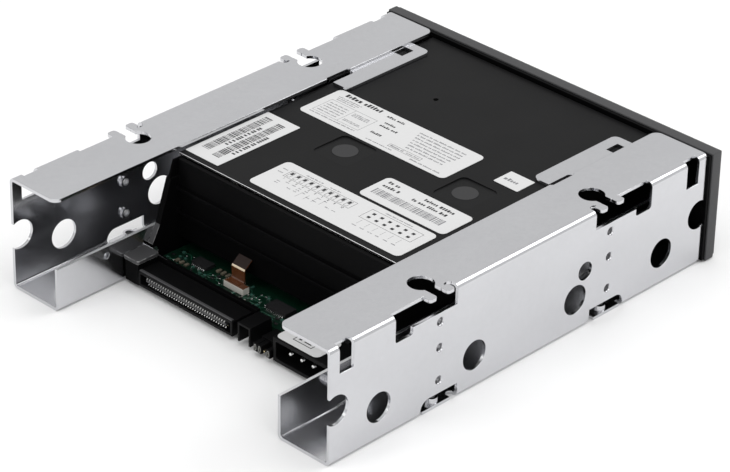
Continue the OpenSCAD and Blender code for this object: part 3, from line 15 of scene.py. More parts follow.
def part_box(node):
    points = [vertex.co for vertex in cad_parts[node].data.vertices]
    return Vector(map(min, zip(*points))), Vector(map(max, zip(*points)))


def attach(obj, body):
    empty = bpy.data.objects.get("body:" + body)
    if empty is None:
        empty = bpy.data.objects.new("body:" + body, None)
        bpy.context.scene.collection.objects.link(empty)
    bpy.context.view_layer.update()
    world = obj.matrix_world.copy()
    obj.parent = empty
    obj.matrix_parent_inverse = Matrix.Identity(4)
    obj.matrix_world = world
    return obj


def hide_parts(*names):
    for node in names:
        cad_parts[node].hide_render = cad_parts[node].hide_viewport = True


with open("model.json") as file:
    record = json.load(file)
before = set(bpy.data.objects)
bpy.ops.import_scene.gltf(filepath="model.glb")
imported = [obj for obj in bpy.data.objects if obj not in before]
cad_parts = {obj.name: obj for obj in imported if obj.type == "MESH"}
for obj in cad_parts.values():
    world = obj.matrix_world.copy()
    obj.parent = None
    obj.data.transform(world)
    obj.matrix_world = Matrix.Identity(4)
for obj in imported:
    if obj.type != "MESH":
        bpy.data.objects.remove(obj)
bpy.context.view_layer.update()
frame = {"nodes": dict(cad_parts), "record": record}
MM = 0.001
scene = bpy.context.scene
slot_of = {part["node"]: part["material_slot"] for part in frame["record"]["subparts"]}

# %% [markdown]
# ## The camera
# A product photograph of this kind is taken with a long lens from well above the object. The
# camera is set by its place, its three angles and its lens, which were found by fitting known
# corners of the drive. Turning the three axes by hand keeps the roll exact, which a Track To
# constraint would lose.

# %% Camera
CAMERA_AT = Vector((-645.4, 670.8, 555.4)) * MM
YAW, PITCH, ROLL = (math.radians(angle) for angle in (136.04, -30.14, 1.11))
LENS_MM, SENSOR_MM = 161.3, 36
SHIFT = (0.0004, -0.0055)
CLIP = (0.05, 20)

camera_data = bpy.data.cameras.new("camera")
camera_data.lens = LENS_MM
camera_data.sensor_width = SENSOR_MM
camera_data.shift_x, camera_data.shift_y = SHIFT
camera_data.clip_start, camera_data.clip_end = CLIP
camera = bpy.data.objects.new("camera", camera_data)
scene.collection.objects.link(camera)
scene.camera = camera

ahead = Vector((math.cos(PITCH) * math.sin(YAW), math.cos(PITCH) * math.cos(YAW), math.sin(PITCH)))
level = ahead.cross(Vector((0, 0, 1))).normalized()
above = level.cross(ahead)
right = math.cos(ROLL) * level + math.sin(ROLL) * above
up = -math.sin(ROLL) * level + math.cos(ROLL) * above
turn = Matrix((right, up, -ahead)).transposed().to_4x4()
camera.matrix_world = Matrix.Translation(CAMERA_AT) @ turn
print("camera at", [round(x, 3) for x in camera.location])

# %% [markdown]
# ## Node helpers
# Node trees in Python are long when each socket is set on its own line. One helper adds a node,
# sets its values and links whatever is a socket; the other opens a group and returns its inputs
# and outputs by name. Both serve shader trees and Geometry Nodes trees alike.

# %% Add a node, open a group
FLOAT, VECTOR, INTEGER = "NodeSocketFloat", "NodeSocketVector", "NodeSocketInt"
GEOMETRY, MATERIAL, OBJECT = "NodeSocketGeometry", "NodeSocketMaterial", "NodeSocketObject"


def node(tree, kind, inputs=None, **settings):
    made = tree.nodes.new(kind)
    for key, value in settings.items():
        setattr(made, key, value)
    for key, value in (inputs or {}).items():
        if isinstance(value, bpy.types.NodeSocket):
            tree.links.new(value, made.inputs[key])
        else:
            made.inputs[key].default_value = value
    return made


def open_group(name, inputs, outputs, kind="ShaderNodeTree"):
    tree = bpy.data.node_groups.new(name, kind)
    for label, socket, value in inputs:
        made = tree.interface.new_socket(label, in_out="INPUT", socket_type=socket)
        if value is not None:
            made.default_value = value
    for label, socket in outputs:
        tree.interface.new_socket(label, in_out="OUTPUT", socket_type=socket)
    return tree, node(tree, "NodeGroupInput").outputs, node(tree, "NodeGroupOutput").inputs


def math_node(tree, operation, a, b=0.0, clamp=False):
    made = node(tree, "ShaderNodeMath", {0: a, 1: b}, operation=operation, use_clamp=clamp)
    return made.outputs[0]


# %% [markdown]
# ## Floor and light
# The drive stands on a pale table under soft studio light. Sheet metal shows what it mirrors, so
# the world is a gradient of greys by height, a little brighter straight above. A broad lamp in
# front on the left draws the bright lines along the bends, since a bend turns through every angle
# between the two faces and mirrors that lamp once.

# %% Floor
FLOOR_HALF = 3
SQUARE = ((-1, -1), (1, -1), (1, 1), (-1, 1))
TABLE_GREY = (0.93, 0.93, 0.93, 1)

floor_mesh = bpy.data.meshes.new("floor")
floor_mesh.from_pydata([(x * FLOOR_HALF, y * FLOOR_HALF, 0) for x, y in SQUARE], [], [range(4)])
floor = bpy.data.objects.new("floor", floor_mesh)
scene.collection.objects.link(floor)
pale = bpy.data.materials.new("pale_table")
pale.use_nodes = True
table_shader = pale.node_tree.nodes["Principled BSDF"]
table_shader.inputs["Base Color"].default_value = TABLE_GREY
table_shader.inputs["Roughness"].default_value = 0.6
table_shader.inputs["Specular IOR Level"].default_value = 0.2
floor_mesh.materials.append(pale)

# %% World gradient
# The brightness at each height of the sky, from the horizon at 0 to straight above at 1
SKY_BANDS = [(0.0, 0.92), (0.25, 0.88), (0.5, 0.9), (0.75, 0.85), (1.0, 1.0)]
SKY_STRENGTH = 0.9
NEW_RAMP_STOPS = 2

world = bpy.data.worlds.new("studio")
scene.world = world
world.use_nodes = True
sky = world.node_tree
sky.nodes.clear()
direction = node(sky, "ShaderNodeTexCoord").outputs["Generated"]
height = node(sky, "ShaderNodeSeparateXYZ", {0: direction}).outputs["Z"]
bands = node(sky, "ShaderNodeValToRGB", {"Fac": height})
stops = bands.color_ramp.elements
for i, (position, grey) in enumerate(SKY_BANDS):
    stop = stops[i] if i < NEW_RAMP_STOPS else stops.new(position)
    stop.position = position
    stop.color = (grey, grey, grey, 1)
background = node(sky, "ShaderNodeBackground",
                  {"Color": bands.outputs["Color"], "Strength": SKY_STRENGTH})
node(sky, "ShaderNodeOutputWorld", {"Surface": background.outputs[0]})

# %% Lamps
# Name, place in metres, side of the square and power in watts
LAMPS = [
    ("overhead", (-0.1, 0.1, 1.1), 1.0, 3.0),
    ("left_front", (-0.42, -0.76, 0.88), 0.55, 2.8),
    ("left_side", (-1.2, 0.3, 0.7), 0.7, 1.5),
    ("behind", (0.5, 1.2, 0.8), 0.5, 2.5),
]
view_centre = Vector((0, 0, 0.02))
for name, spot, size, power in LAMPS:
    data = bpy.data.lights.new(name, "AREA")
    data.size = size
    data.energy = power
    lamp = bpy.data.objects.new(name, data)
    scene.collection.objects.link(lamp)
    lamp.location = spot
    lamp.rotation_euler = (view_centre - Vector(spot)).to_track_quat("-Z", "Y").to_euler()
scene.view_settings.view_transform = "Standard"
print(len(LAMPS), "lamps")

# %% [markdown]
# ## Shared surface effects
# Four effects come back on many finishes, so each is one node group with named inputs: the fine
# grain of a surface, the crystals of zinc plating, the wear that shines on an edge, and the dust
# that settles on what faces up. The edge wear reads a face attribute named edge, which the
# rounding of each piece writes, so it follows the real edges and not a guess at them.

# %% Shader groups
def object_coordinates(tree):
    return node(tree, "ShaderNodeTexCoord").outputs["Object"]


BROAD_SCALE = 60.0
WORN_FROM, WORN_CONTRAST = 0.9, 6.0


def build_grain():
    tree, given, out = open_group(
        "Fine grain", [("Scale", FLOAT, 2500.0), ("Stretch", VECTOR, (1, 1, 1))],
        [("Value", FLOAT), ("Broad", FLOAT)])
    stretched = {0: object_coordinates(tree), 1: given["Stretch"]}
    placed = node(tree, "ShaderNodeVectorMath", stretched, operation="MULTIPLY").outputs[0]
    fine = node(tree, "ShaderNodeTexNoise", {
        "Vector": placed, "Scale": given["Scale"], "Detail": 3.0, "Roughness": 0.6})
    broad = node(tree, "ShaderNodeTexNoise",
                 {"Vector": placed, "Scale": BROAD_SCALE, "Detail": 2.0})
    tree.links.new(fine.outputs["Fac"], out["Value"])
    tree.links.new(broad.outputs["Fac"], out["Broad"])
    return tree


def build_spangle():
    tree, given, out = open_group("Zinc crystals", [("Scale", FLOAT, 700.0)], [("Tone", FLOAT)])
    cells = node(tree, "ShaderNodeTexVoronoi",
                 {"Vector": object_coordinates(tree), "Scale": given["Scale"]})
    shade = node(tree, "ShaderNodeSeparateColor", {"Color": cells.outputs["Color"]})
    tree.links.new(shade.outputs[0], out["Tone"])
    return tree


def build_wear():
    tree, given, out = open_group(
        "Edge wear", [("Amount", FLOAT, 0.5), ("Scale", FLOAT, 400.0)], [("Mask", FLOAT)])
    edge = node(tree, "ShaderNodeAttribute", attribute_name="edge").outputs["Fac"]
    patches = node(tree, "ShaderNodeTexNoise", {
        "Vector": object_coordinates(tree), "Scale": given["Scale"], "Detail": 4.0})
    kept = math_node(tree, "ADD", patches.outputs["Fac"], given["Amount"])
    past = math_node(tree, "SUBTRACT", kept, WORN_FROM)
    sharp = math_node(tree, "MULTIPLY", past, WORN_CONTRAST, clamp=True)
    tree.links.new(math_node(tree, "MULTIPLY", sharp, edge), out["Mask"])
    return tree


def build_dust():
    tree, given, out = open_group(
        "Settled dust", [("Amount", FLOAT, 0.1), ("Scale", FLOAT, 900.0)], [("Mask", FLOAT)])
    facing = node(tree, "ShaderNodeNewGeometry").outputs["Normal"]
    upward = node(tree, "ShaderNodeSeparateXYZ", {0: facing}).outputs["Z"]
    specks = node(tree, "ShaderNodeTexNoise", {
        "Vector": object_coordinates(tree), "Scale": given["Scale"], "Detail": 5.0})
    level_part = math_node(tree, "MAXIMUM", upward, 0.0)
    lying = math_node(tree, "MULTIPLY", level_part, specks.outputs["Fac"])
    tree.links.new(math_node(tree, "MULTIPLY", lying, given["Amount"]), out["Mask"])
    return tree


grain_group, spangle_group, wear_group, dust_group = (
    build_grain(), build_spangle(), build_wear(), build_dust())
print("shader groups:", [g.name for g in bpy.data.node_groups])

# %% [markdown]
# ## Finishes
# Plated sheet, satin paint, moulded plastic and the rest differ in a handful of numbers: colour,
# gloss, grain size, the share of crystals or of broad clouds in the tone, and how much the edges
# are worn. One maker builds the Principled BSDF from those numbers and the shared groups, and a
# table holds a row for each finish of this drive. The second table is for printed ink and for
# parts of a piece that differ from the rest of its slot.

# %% Blend two values, mix two colours
def blended(tree, first, second, share):
    """The value of first, with share of second mixed in."""
    kept = math_node(tree, "MULTIPLY", first, 1 - share)
    return math_node(tree, "ADD", kept, math_node(tree, "MULTIPLY", second, share))


def mix_colour(tree, factor, first, second):
    made = node(tree, "ShaderNodeMix", {"Factor": factor}, data_type="RGBA")
    for socket, value in ((made.inputs[6], first), (made.inputs[7], second)):
        if isinstance(value, bpy.types.NodeSocket):
            tree.links.new(value, socket)
        else:
            socket.default_value = value
    return made.outputs[2]


# %% Maker of a finish
DUST_COLOUR = [0.6, 0.59, 0.57, 1]
BUMP_DEPTH = 0.2 * MM


def make_finish(name, colour, rough, metal=0.0, grain=2500.0, bump=0.02, tone=0.12, spread=0.1,
                stretch=(1, 1, 1), wear=0.0, bare=(0.5, 0.5, 0.5), dust=0.0, gloss=0.5,
                crystals=0.0, cloud=0.0, coat=0.0):
    material = bpy.data.materials.new(name)
    material.use_nodes = True
    tree = material.node_tree
    shader = tree.nodes["Principled BSDF"]
    grains = node(tree, "ShaderNodeGroup", node_tree=grain_group)
    grains.inputs["Scale"].default_value = grain
    grains.inputs["Stretch"].default_value = stretch
    shade = grains.outputs["Value"]
    if crystals:
        spangles = node(tree, "ShaderNodeGroup", node_tree=spangle_group)
        shade = blended(tree, shade, spangles.outputs["Tone"], crystals)
    if cloud:
        shade = blended(tree, shade, grains.outputs["Broad"], cloud)
    dark = [c * (1 - tone) for c in colour] + [1]
    light = [min(1, c * (1 + tone)) for c in colour] + [1]
    surface = mix_colour(tree, shade, dark, light)
    if wear:
        worn = node(tree, "ShaderNodeGroup", node_tree=wear_group)
        worn.inputs["Amount"].default_value = wear
        surface = mix_colour(tree, worn.outputs["Mask"], surface, [*bare, 1])
    if dust:
        settled = node(tree, "ShaderNodeGroup", node_tree=dust_group)
        settled.inputs["Amount"].default_value = dust
        surface = mix_colour(tree, settled.outputs["Mask"], surface, DUST_COLOUR)
    tree.links.new(surface, shader.inputs["Base Color"])
    uneven = math_node(tree, "MULTIPLY_ADD", grains.outputs["Broad"], spread)
    uneven.node.inputs[2].default_value = rough - spread / 2
    tree.links.new(uneven, shader.inputs["Roughness"])
    relief = node(tree, "ShaderNodeBump",
                  {"Height": shade, "Strength": bump, "Distance": BUMP_DEPTH})
    tree.links.new(relief.outputs["Normal"], shader.inputs["Normal"])
    shader.inputs["Metallic"].default_value = metal
    shader.inputs["Specular IOR Level"].default_value = gloss
    shader.inputs["Coat Weight"].default_value = coat
    return material


# %% Table of finishes
FINISHES = {
    "zinc": dict(colour=(0.61, 0.613, 0.632), rough=0.17, metal=1.0, grain=1500.0, bump=0.03,
                 tone=0.09, spread=0.05, stretch=(1, 0.4, 1), crystals=0.3, cloud=0.6, dust=0.02),
    "screw_steel": dict(colour=(0.62, 0.63, 0.65), rough=0.25, metal=1.0),
    "black_moulding": dict(colour=(0.0025, 0.0025, 0.0027), rough=0.35, bump=0.08, wear=0.12,
                           bare=(0.012, 0.012, 0.012), gloss=0.03),
    "black_paint": dict(colour=(0.0075, 0.0075, 0.0078), rough=0.42, grain=3500.0, bump=0.08,
                        gloss=0.075),
    "label_paper": dict(colour=(0.64, 0.64, 0.64), rough=0.55, bump=0.03, tone=0.015, gloss=0.2),
    "plain_steel": dict(colour=(0.55, 0.56, 0.58), rough=0.34, metal=1.0, stretch=(1, 0.1, 1)),
    "charcoal_plastic": dict(colour=(0.05, 0.05, 0.052), rough=0.5, grain=1800.0, bump=0.25,
                             tone=0.15, wear=0.1, bare=(0.14, 0.14, 0.14), gloss=0.3, dust=0.01),
    "lens": dict(colour=(0.16, 0.32, 0.12), rough=0.15, bump=0.01, gloss=0.6, coat=0.4),
    # Dark green of the coat, darkened further as painted shade over the strip.
    "board_green": dict(colour=(0.0025, 0.016, 0.0085), rough=0.3, grain=900.0, tone=0.35, coat=0.1,
                        gloss=0.2),
    "chip_black": dict(colour=(0.012, 0.012, 0.013), rough=0.5, bump=0.1, gloss=0.3),
    "part_tan": dict(colour=(0.13, 0.115, 0.085), rough=0.35),
    "connector_black": dict(colour=(0.004, 0.004, 0.0043), rough=0.3, bump=0.05, wear=0.3,
                            bare=(0.03, 0.03, 0.03), gloss=0.08),
    "contact_gold": dict(colour=(0.75, 0.64, 0.4), rough=0.22, metal=1.0),
    "contact_tin": dict(colour=(0.78, 0.78, 0.77), rough=0.2, metal=1.0),
    "white_plastic": dict(colour=(0.7, 0.68, 0.62), rough=0.4, bump=0.05),
    "flex_brown": dict(colour=(0.085, 0.028, 0.009), rough=0.25, bump=0.02, coat=0.25),
    "cast_alloy": dict(colour=(0.5, 0.51, 0.53), rough=0.45, metal=1.0, grain=1200.0, bump=0.15),
    "gear_plastic": dict(colour=(0.72, 0.7, 0.62), rough=0.38),
    "dark_plastic": dict(colour=(0.035, 0.035, 0.038), rough=0.4),
    "polished_alloy": dict(colour=(0.78, 0.79, 0.81), rough=0.12, metal=1.0, stretch=(1, 1, 12)),
    "roller_rubber": dict(colour=(0.022, 0.022, 0.022), rough=0.7, bump=0.2),
    "switch_blue": dict(colour=(0.02, 0.07, 0.3), rough=0.3),
}
EXTRA_FINISHES = {
    # Pale metal that paints a highlight on rounded edges.
    "bare_edge": dict(colour=(0.8, 0.8, 0.81), rough=0.5, metal=1.0),
    # Lighter black that paints a sheen on black plastic, its edges also worn.
    "cap_satin": dict(colour=(0.05, 0.05, 0.052), rough=0.32, bump=0.1, wear=0.5,
                      bare=(0.25, 0.25, 0.25), gloss=0.5),
    "stamp_grey": dict(colour=(0.045, 0.045, 0.046), rough=0.6, gloss=0.1),
    "ink": dict(colour=(0.02, 0.02, 0.022), rough=0.5, gloss=0.2),
    "ink_grey": dict(colour=(0.2, 0.2, 0.21), rough=0.5, gloss=0.2),
    "trace_green": dict(colour=(0.02, 0.1, 0.06), rough=0.25, coat=0.3),
    # Near-black brown that paints the shade on the flex past its crease.
    "flex_dark": dict(colour=(0.022, 0.014, 0.012), rough=0.5, gloss=0.15),
    # Pale tan that paints the highlight along the flex's crease.
    "flex_crease": dict(colour=(0.7, 0.58, 0.42), rough=0.3, coat=0.3),
    "latch_brown": dict(colour=(0.09, 0.035, 0.016), rough=0.35),
    "part_teal": dict(colour=(0.03, 0.1, 0.075), rough=0.3, coat=0.2),
    # Darkened steel that paints the shade inside the tapped bores.
    "thread_steel": dict(colour=(0.3, 0.3, 0.31), rough=0.3, metal=1.0),
    "contact_dull": dict(colour=(0.42, 0.42, 0.41), rough=0.3, metal=1.0),
    # Lighter grey that paints a highlight on the rims of the links.
    "rim_grey": dict(colour=(0.2, 0.2, 0.19), rough=0.35, gloss=0.4),
    "dark_plate": dict(colour=(0.05, 0.05, 0.052), rough=0.35, metal=1.0),
}
finish = {name: make_finish(name, **values)
          for table in (FINISHES, EXTRA_FINISHES) for name, values in table.items()}
print(len(finish), "finishes")

# %% [markdown]
# ## Placing a piece
# A finished piece is a plain mesh whose place is in its own coordinates. One helper hangs it on its
# body. A second runs the Weighted Normal modifier, which lets the wide faces decide the shading, so
# that the narrow rounds carry the whole highlight. A third lets a Geometry Nodes tree grow a mesh
# and keeps the result, because the modifier itself would not be exported.

# %% Place, shade and grow
SHARP = math.radians(28)


def place(name, mesh, look=None, body="drive", slot=None):
    if look:
        mesh.materials.clear()
        mesh.materials.append(finish[look])
    mesh.name = name
    thing = bpy.data.objects.new(name, mesh)
    scene.collection.objects.link(thing)
    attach(thing, body)
    return thing


def result_of(thing):
    scene_state = bpy.context.evaluated_depsgraph_get()
    mesh = bpy.data.meshes.new_from_object(
        thing.evaluated_get(scene_state), preserve_all_data_layers=True, depsgraph=scene_state)
    bpy.data.objects.remove(thing)
    return mesh


def shaded(mesh):
    mesh.shade_smooth()
    mesh.set_sharp_from_angle(angle=SHARP)
    thing = bpy.data.objects.new("shading", mesh)
    scene.collection.objects.link(thing)
    weigh = thing.modifiers.new("weigh", "WEIGHTED_NORMAL")
    weigh.keep_sharp = True
    weigh.weight = 100
    return result_of(thing)


def grow(tree, base, **inputs):
    thing = bpy.data.objects.new("growing", base)
    scene.collection.objects.link(thing)
    modifier = thing.modifiers.new("grow", "NODES")
    modifier.node_group = tree
    for socket in tree.interface.items_tree:
        key = socket.name.lower().replace(" ", "_")
        if socket.in_out == "INPUT" and key in inputs:
            modifier[socket.identifier] = inputs[key]
    return result_of(thing)


# %% [markdown]
# ## Dressing the CAD solids
# Real sheet and real mouldings have no knife edges. Each solid is copied, its triangles are merged
# back into whole faces, and every sharp edge is broken by a small round that catches the light. The
# new narrow faces get the edge attribute that the wear reads. The copy replaces the CAD node.

# %% Round the edges of a node
FLAT = math.radians(0.4)
SAME_POINT = 1e-6


def merged_copy(name):
    bm = bmesh.new()
    bm.from_mesh(frame["nodes"][name].data)
    bmesh.ops.remove_doubles(bm, verts=bm.verts, dist=SAME_POINT)
    bmesh.ops.dissolve_limit(bm, angle_limit=FLAT, verts=bm.verts, edges=bm.edges)
    return bm


def bevel(bm, edges, width, steps, clamped=False):
    return bmesh.ops.bevel(bm, geom=edges, offset=width, offset_type="OFFSET", segments=steps,
                           profile=0.5, affect="EDGES", clamp_overlap=clamped)


def round_edges(bm, width):
    edge_layer = bm.faces.layers.float.new("edge")
    crisp = [e for e in bm.edges if len(e.link_faces) == 2 and e.calc_face_angle() > SHARP]
    rounds = bevel(bm, crisp, width, 2)
    for face in rounds["faces"]:
        face[edge_layer] = 1.0


def to_mesh(bm):
    mesh = bpy.data.meshes.new("made")
    bm.to_mesh(mesh)
    bm.free()
    return mesh


def body_of_node(name):
    bodies = frame["record"]["behaviour"]["bodies"]
    return next(body for body, nodes in bodies.items() if name in nodes)


def dress(name, width, carve=None):
    bm = merged_copy(name)
    if width:
        round_edges(bm, width * MM)
    mesh = to_mesh(bm)
    if carve:
        mesh = carve(mesh)
    slot = slot_of[name]
    made = place(name + "_dressed", shaded(mesh), slot, body_of_node(name), slot)
    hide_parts(name)
    return made


# %% [markdown]
# ## Stampings in the cover
# Two square pads are pressed into the cover. Each sinks towards one corner, where its walls show
# as dark lines, and it has a flat disc in its middle. A Boolean with a sloping cutter presses them
# into the rounded cover, which keeps the cover one closed piece of sheet.

# %% Boxes of nodes, solids from loops
def box_of(name):
    """The low and the high corner of a CAD node, in mm."""
    return [[x / MM for x in corner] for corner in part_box(name)]


def bridge(bm, first, second):
    """Quads from one loop of vertices to the next."""
    for i in range(len(first)):
        j = (i + 1) % len(first)
        bm.faces.new((first[i], first[j], second[j], second[i]))


def add_prism(bm, low, high):
    """A closed solid between two loops of vertices."""
    bm.faces.new(low[::-1])
    bm.faces.new(high)
    bridge(bm, low, high)
    bmesh.ops.recalc_face_normals(bm, faces=bm.faces)


# %% Press the pads into the cover
COVER_TOP = box_of("top_cover")[1][2]
STAMP_MIDDLES = [(13.8, -2.8), (-32.8, -10.6)]
STAMP_HALF = 7.9
STAMP_DEEP = 0.5
STAMP_RISE = 0.01
STAMP_CLEAR = 0.6
STAMP_ROUND = 2.2


def stamp_cutter(bm, middle):
    low, high = [], []
    for across, along in ((1, -1), (1, 1), (-1, 1), (-1, -1)):
        x, y = middle[0] + across * STAMP_HALF, middle[1] + along * STAMP_HALF
        sunk = STAMP_DEEP * (2 + across - along) / 4 - STAMP_RISE
        low.append(bm.verts.new(Vector((x, y, COVER_TOP - sunk)) * MM))
        high.append(bm.verts.new(Vector((x, y, COVER_TOP + STAMP_CLEAR)) * MM))
    add_prism(bm, low, high)
    uprights = [e for e in bm.edges if {*e.verts} & {*low} and {*e.verts} & {*high}]
    bevel(bm, uprights, STAMP_ROUND * MM, 5)


def press_pads(mesh):
    bm = bmesh.new()
    for middle in STAMP_MIDDLES:
        stamp_cutter(bm, middle)
    cutter = bpy.data.objects.new("cutter", to_mesh(bm))
    cover = bpy.data.objects.new("cover", mesh)
    for thing in (cutter, cover):
        scene.collection.objects.link(thing)
    press = cover.modifiers.new("press", "BOOLEAN")
    press.operation = "DIFFERENCE"
    press.solver = "EXACT"
    press.object = cutter
    pressed = result_of(cover)
    bpy.data.objects.remove(cutter)
    return pressed


# %% Rounds of the pieces, in millimetres
ROUNDS = {
    "left_bracket": 0.13, "right_bracket": 0.13, "top_cover": 0.14, "chassis": 0.2,
    "front_bezel": 0.33, "front_frame": 0.16, "cartridge_door": 0.2, "eject_button": 0.27,
    "rear_housing": 0.2, "interface_connector": 0.15, "jumper_header": 0.12,
    "jumper_shunts": 0.12, "power_connector": 0.22, "flex_socket": 0.12, "board_chips": 0.1,
    "bottom_plate": 0.1, "mech_deck": 0.15, "indicator_lenses": 0.2, "switch_body": 0.12,
    "cartridge_basket": 0.08, "loading_frame": 0.1, "screws": 0.1, "power_pins": 0.15,
    "board_parts": 0.08, "loading_motor": 0.12, "drum_base": 0.12, "head_drum": 0.08,
    "pinch_roller": 0.12, "supply_boat": 0.1, "takeup_boat": 0.1, "labels": 0.02,
}

# %% Dress every node
dressed = {}
for name in frame["nodes"]:
    carve = press_pads if name == "top_cover" else None
    dressed[name] = dress(name, ROUNDS.get(name, 0), carve=carve)
for thing in frame["nodes"].values():
    thing.data.materials.clear()
    thing.data.materials.append(finish["dark_plastic"])
print(len(dressed), "nodes dressed,", sum(len(d.data.polygons) for d in dressed.values()), "faces")

# %% [markdown]
# ## Second finishes within a piece
# The cut rear edge of the cover and the upper edges of the brackets' lips carry a painted highlight
# in a pale metal, the cap of the corner block and the foot of the slanted wall beside it carry a
# painted sheen in a lighter black, and the flex cable is painted darker as shade past its crease,
# with a painted highlight along the crease. Its socket has a brown latch, and the bottom plate is
# plated dark. A face is picked by where it lies and which way it looks, so the finish follows the
# shape.

# %% Paint chosen faces
def paint(piece, material, chosen):
    mesh = piece.data
    mesh.materials.append(material)
    edge = mesh.attributes.get("edge")
    picked = 0
    for polygon in mesh.polygons:
        rounded = bool(edge and edge.data[polygon.index].value > 0.5)
        if chosen(polygon.center / MM, polygon.normal, rounded):
            polygon.material_index = len(mesh.materials) - 1
            picked += 1
    print(piece.name, picked, "faces in", material.name)


# %% Faces with a second finish
CUT_FROM = box_of("top_cover")[1][1] - 0.2
CAP_FROM = box_of("rear_housing")[1][2] - 1.35
LIP_TOP = 16
STRUT_FROM, STRUT_TOP = 44, 17.5
CREASE_Z, CREASE_HALF = 11.9, 0.35


def on_lip(at, n, rounded):
    return n.z > 0.6 and abs(at.z - LIP_TOP) < 0.3


def on_strut(at, n, rounded):
    return at.y > STRUT_FROM and at.z < STRUT_TOP and n.y > 0.3 and n.z > 0.2


SECOND_FINISHES = [
    # Painted highlight on the cover's rounded rear edge and on the lips' upper edges.
    ("top_cover", "bare_edge", lambda at, n, rounded: rounded and at.y > CUT_FROM),
    ("left_bracket", "bare_edge", on_lip),
    ("right_bracket", "bare_edge", on_lip),
    # Painted sheen on the cap of the corner block and on the foot of the slanted wall.
    ("rear_housing", "cap_satin", lambda at, n, rounded: at.z > CAP_FROM),
    ("chassis", "cap_satin", on_strut),
    # Painted shade on the flex past its crease, and a painted highlight along the crease.
    ("flex_cable", "flex_dark", lambda at, n, rounded: at.z > CREASE_Z + CREASE_HALF),
    ("flex_cable", "flex_crease",
     lambda at, n, rounded: abs(at.z - CREASE_Z) < CREASE_HALF and n.y > 0),
    ("flex_socket", "latch_brown", lambda at, n, rounded: n.z > 0.5),
    ("bottom_plate", "dark_plate", lambda at, n, rounded: True),
]
for name, material, chosen in SECOND_FINISHES:
    paint(dressed[name], finish[material], chosen)

# %% Discs of the stampings
def add_disc(bm, at, radius, top_radius, depth, segments):
    """A flat round block with its middle at a point, in mm."""
    bmesh.ops.create_cone(bm, cap_ends=True, segments=segments, radius1=radius * MM,
                          radius2=top_radius * MM, depth=depth * MM,
                          matrix=Matrix.Translation(Vector(at) * MM))


DISC_RADIUS, DISC_TOP_RADIUS, DISC_THICK, DISC_SUNK = 4.5, 4.35, 0.4, 0.3
bm = bmesh.new()
for x, y in STAMP_MIDDLES:
    add_disc(bm, (x, y, COVER_TOP - DISC_SUNK), DISC_RADIUS, DISC_TOP_RADIUS, DISC_THICK, 48)
place("stamp_discs", shaded(to_mesh(bm)), "stamp_grey", slot="black_paint")
print(len(STAMP_MIDDLES), "pressed pads")

# %% [markdown]
# ## Print on the labels
# Labels carry a generic print: bars of three widths, rows of small blocks where a line of words
# would be, a diagram of ten switches numbered 1 to 10 and a diagram of twelve jumper pins. Each
# mark is a closed block of ink a few hundredths of a millimetre thick that sits in the paper.
# Random lengths come from one seeded source, so that every run prints the same sheet.

# %% Marks of ink
INK_PROUD = 0.012
INK_SUNK = 0.02


def add_box(bm, low, high):
    corners = [bm.verts.new(Vector((x, y, z)) * MM)
               for z in (low[2], high[2]) for y in (low[1], high[1]) for x in (low[0], high[0])]
    sides = ((0, 2, 3, 1), (4, 5, 7, 6), (0, 1, 5, 4), (1, 3, 7, 5), (3, 2, 6, 7), (2, 0, 4, 6))
    return [bm.faces.new([corners[i] for i in side]) for side in sides]


def sheet_of(right, rear):
    """Marks are given from a label's lower left corner, as read from behind the drive."""
    def mark(u, v, width, height):
        return (right - u - width, rear - v - height, right - u, rear - v)
    return mark


def outline(mark, u, v, width, height, line):
    return [mark(u, v, width, line), mark(u, v + height - line, width, line),
            mark(u, v + line, line, height - 2 * line),
            mark(u + width - line, v + line, line, height - 2 * line)]


# %% Rows of words and bars
rng = random.Random(40)


def word_row(mark, u, v, length, height):
    """Blocks like letters, two to seven to a word, as far as the length."""
    marks, end = [], u + length
    while u < end:
        for _ in range(rng.randint(2, 7)):
            width = height * rng.uniform(0.35, 0.7)
            if u + width > end:
                break
            marks.append(mark(u, v, width, height * rng.choice((0.7, 0.75, 1.0))))
            u += width + height * 0.22
        u += height * 0.55
    return marks


def words(ink, mark, *rows):
    """Word rows added to an ink, each given as u, v, length and height."""
    for row in rows:
        ink += word_row(mark, *row)


def bars(mark, u, v, length, height, across=False):
    marks, at = [], v if across else u
    end = at + length
    while at < end:
        width = rng.choice((0.22, 0.22, 0.38, 0.55))
        marks.append(mark(u, at, height, width) if across else mark(at, v, width, height))
        at += width + rng.choice((0.25, 0.3, 0.5))
    return marks


# %% Digits
# Seven strokes of a digit: along, up and whether it lies flat, as shares of its width and height
STROKES = {"a": (0, 1, True), "b": (1, 0.5, False), "c": (1, 0, False), "d": (0, 0, True),
           "e": (0, 0, False), "f": (0, 0.5, False), "g": (0, 0.5, True)}
DIGITS = ["abcdef", "bc", "abged", "abgcd", "fgbc", "afgcd", "afgedc", "abc", "abcdefg", "abfgcd"]


def digit(mark, number, u, v, height):
    width, line = height * 0.5, height * 0.14
    marks = []
    for stroke in DIGITS[number]:
        along, high, flat = STROKES[stroke]
        size = (width, line) if flat else (line, height / 2)
        marks.append(mark(u + along * (width - line), v + high * (height - line), *size))
    return marks


# %% [markdown]
# The layout of each label follows the usual plan of a drive's stickers: a wide one with a frame and
# rows, one with the two setting diagrams, and smaller ones with bars.

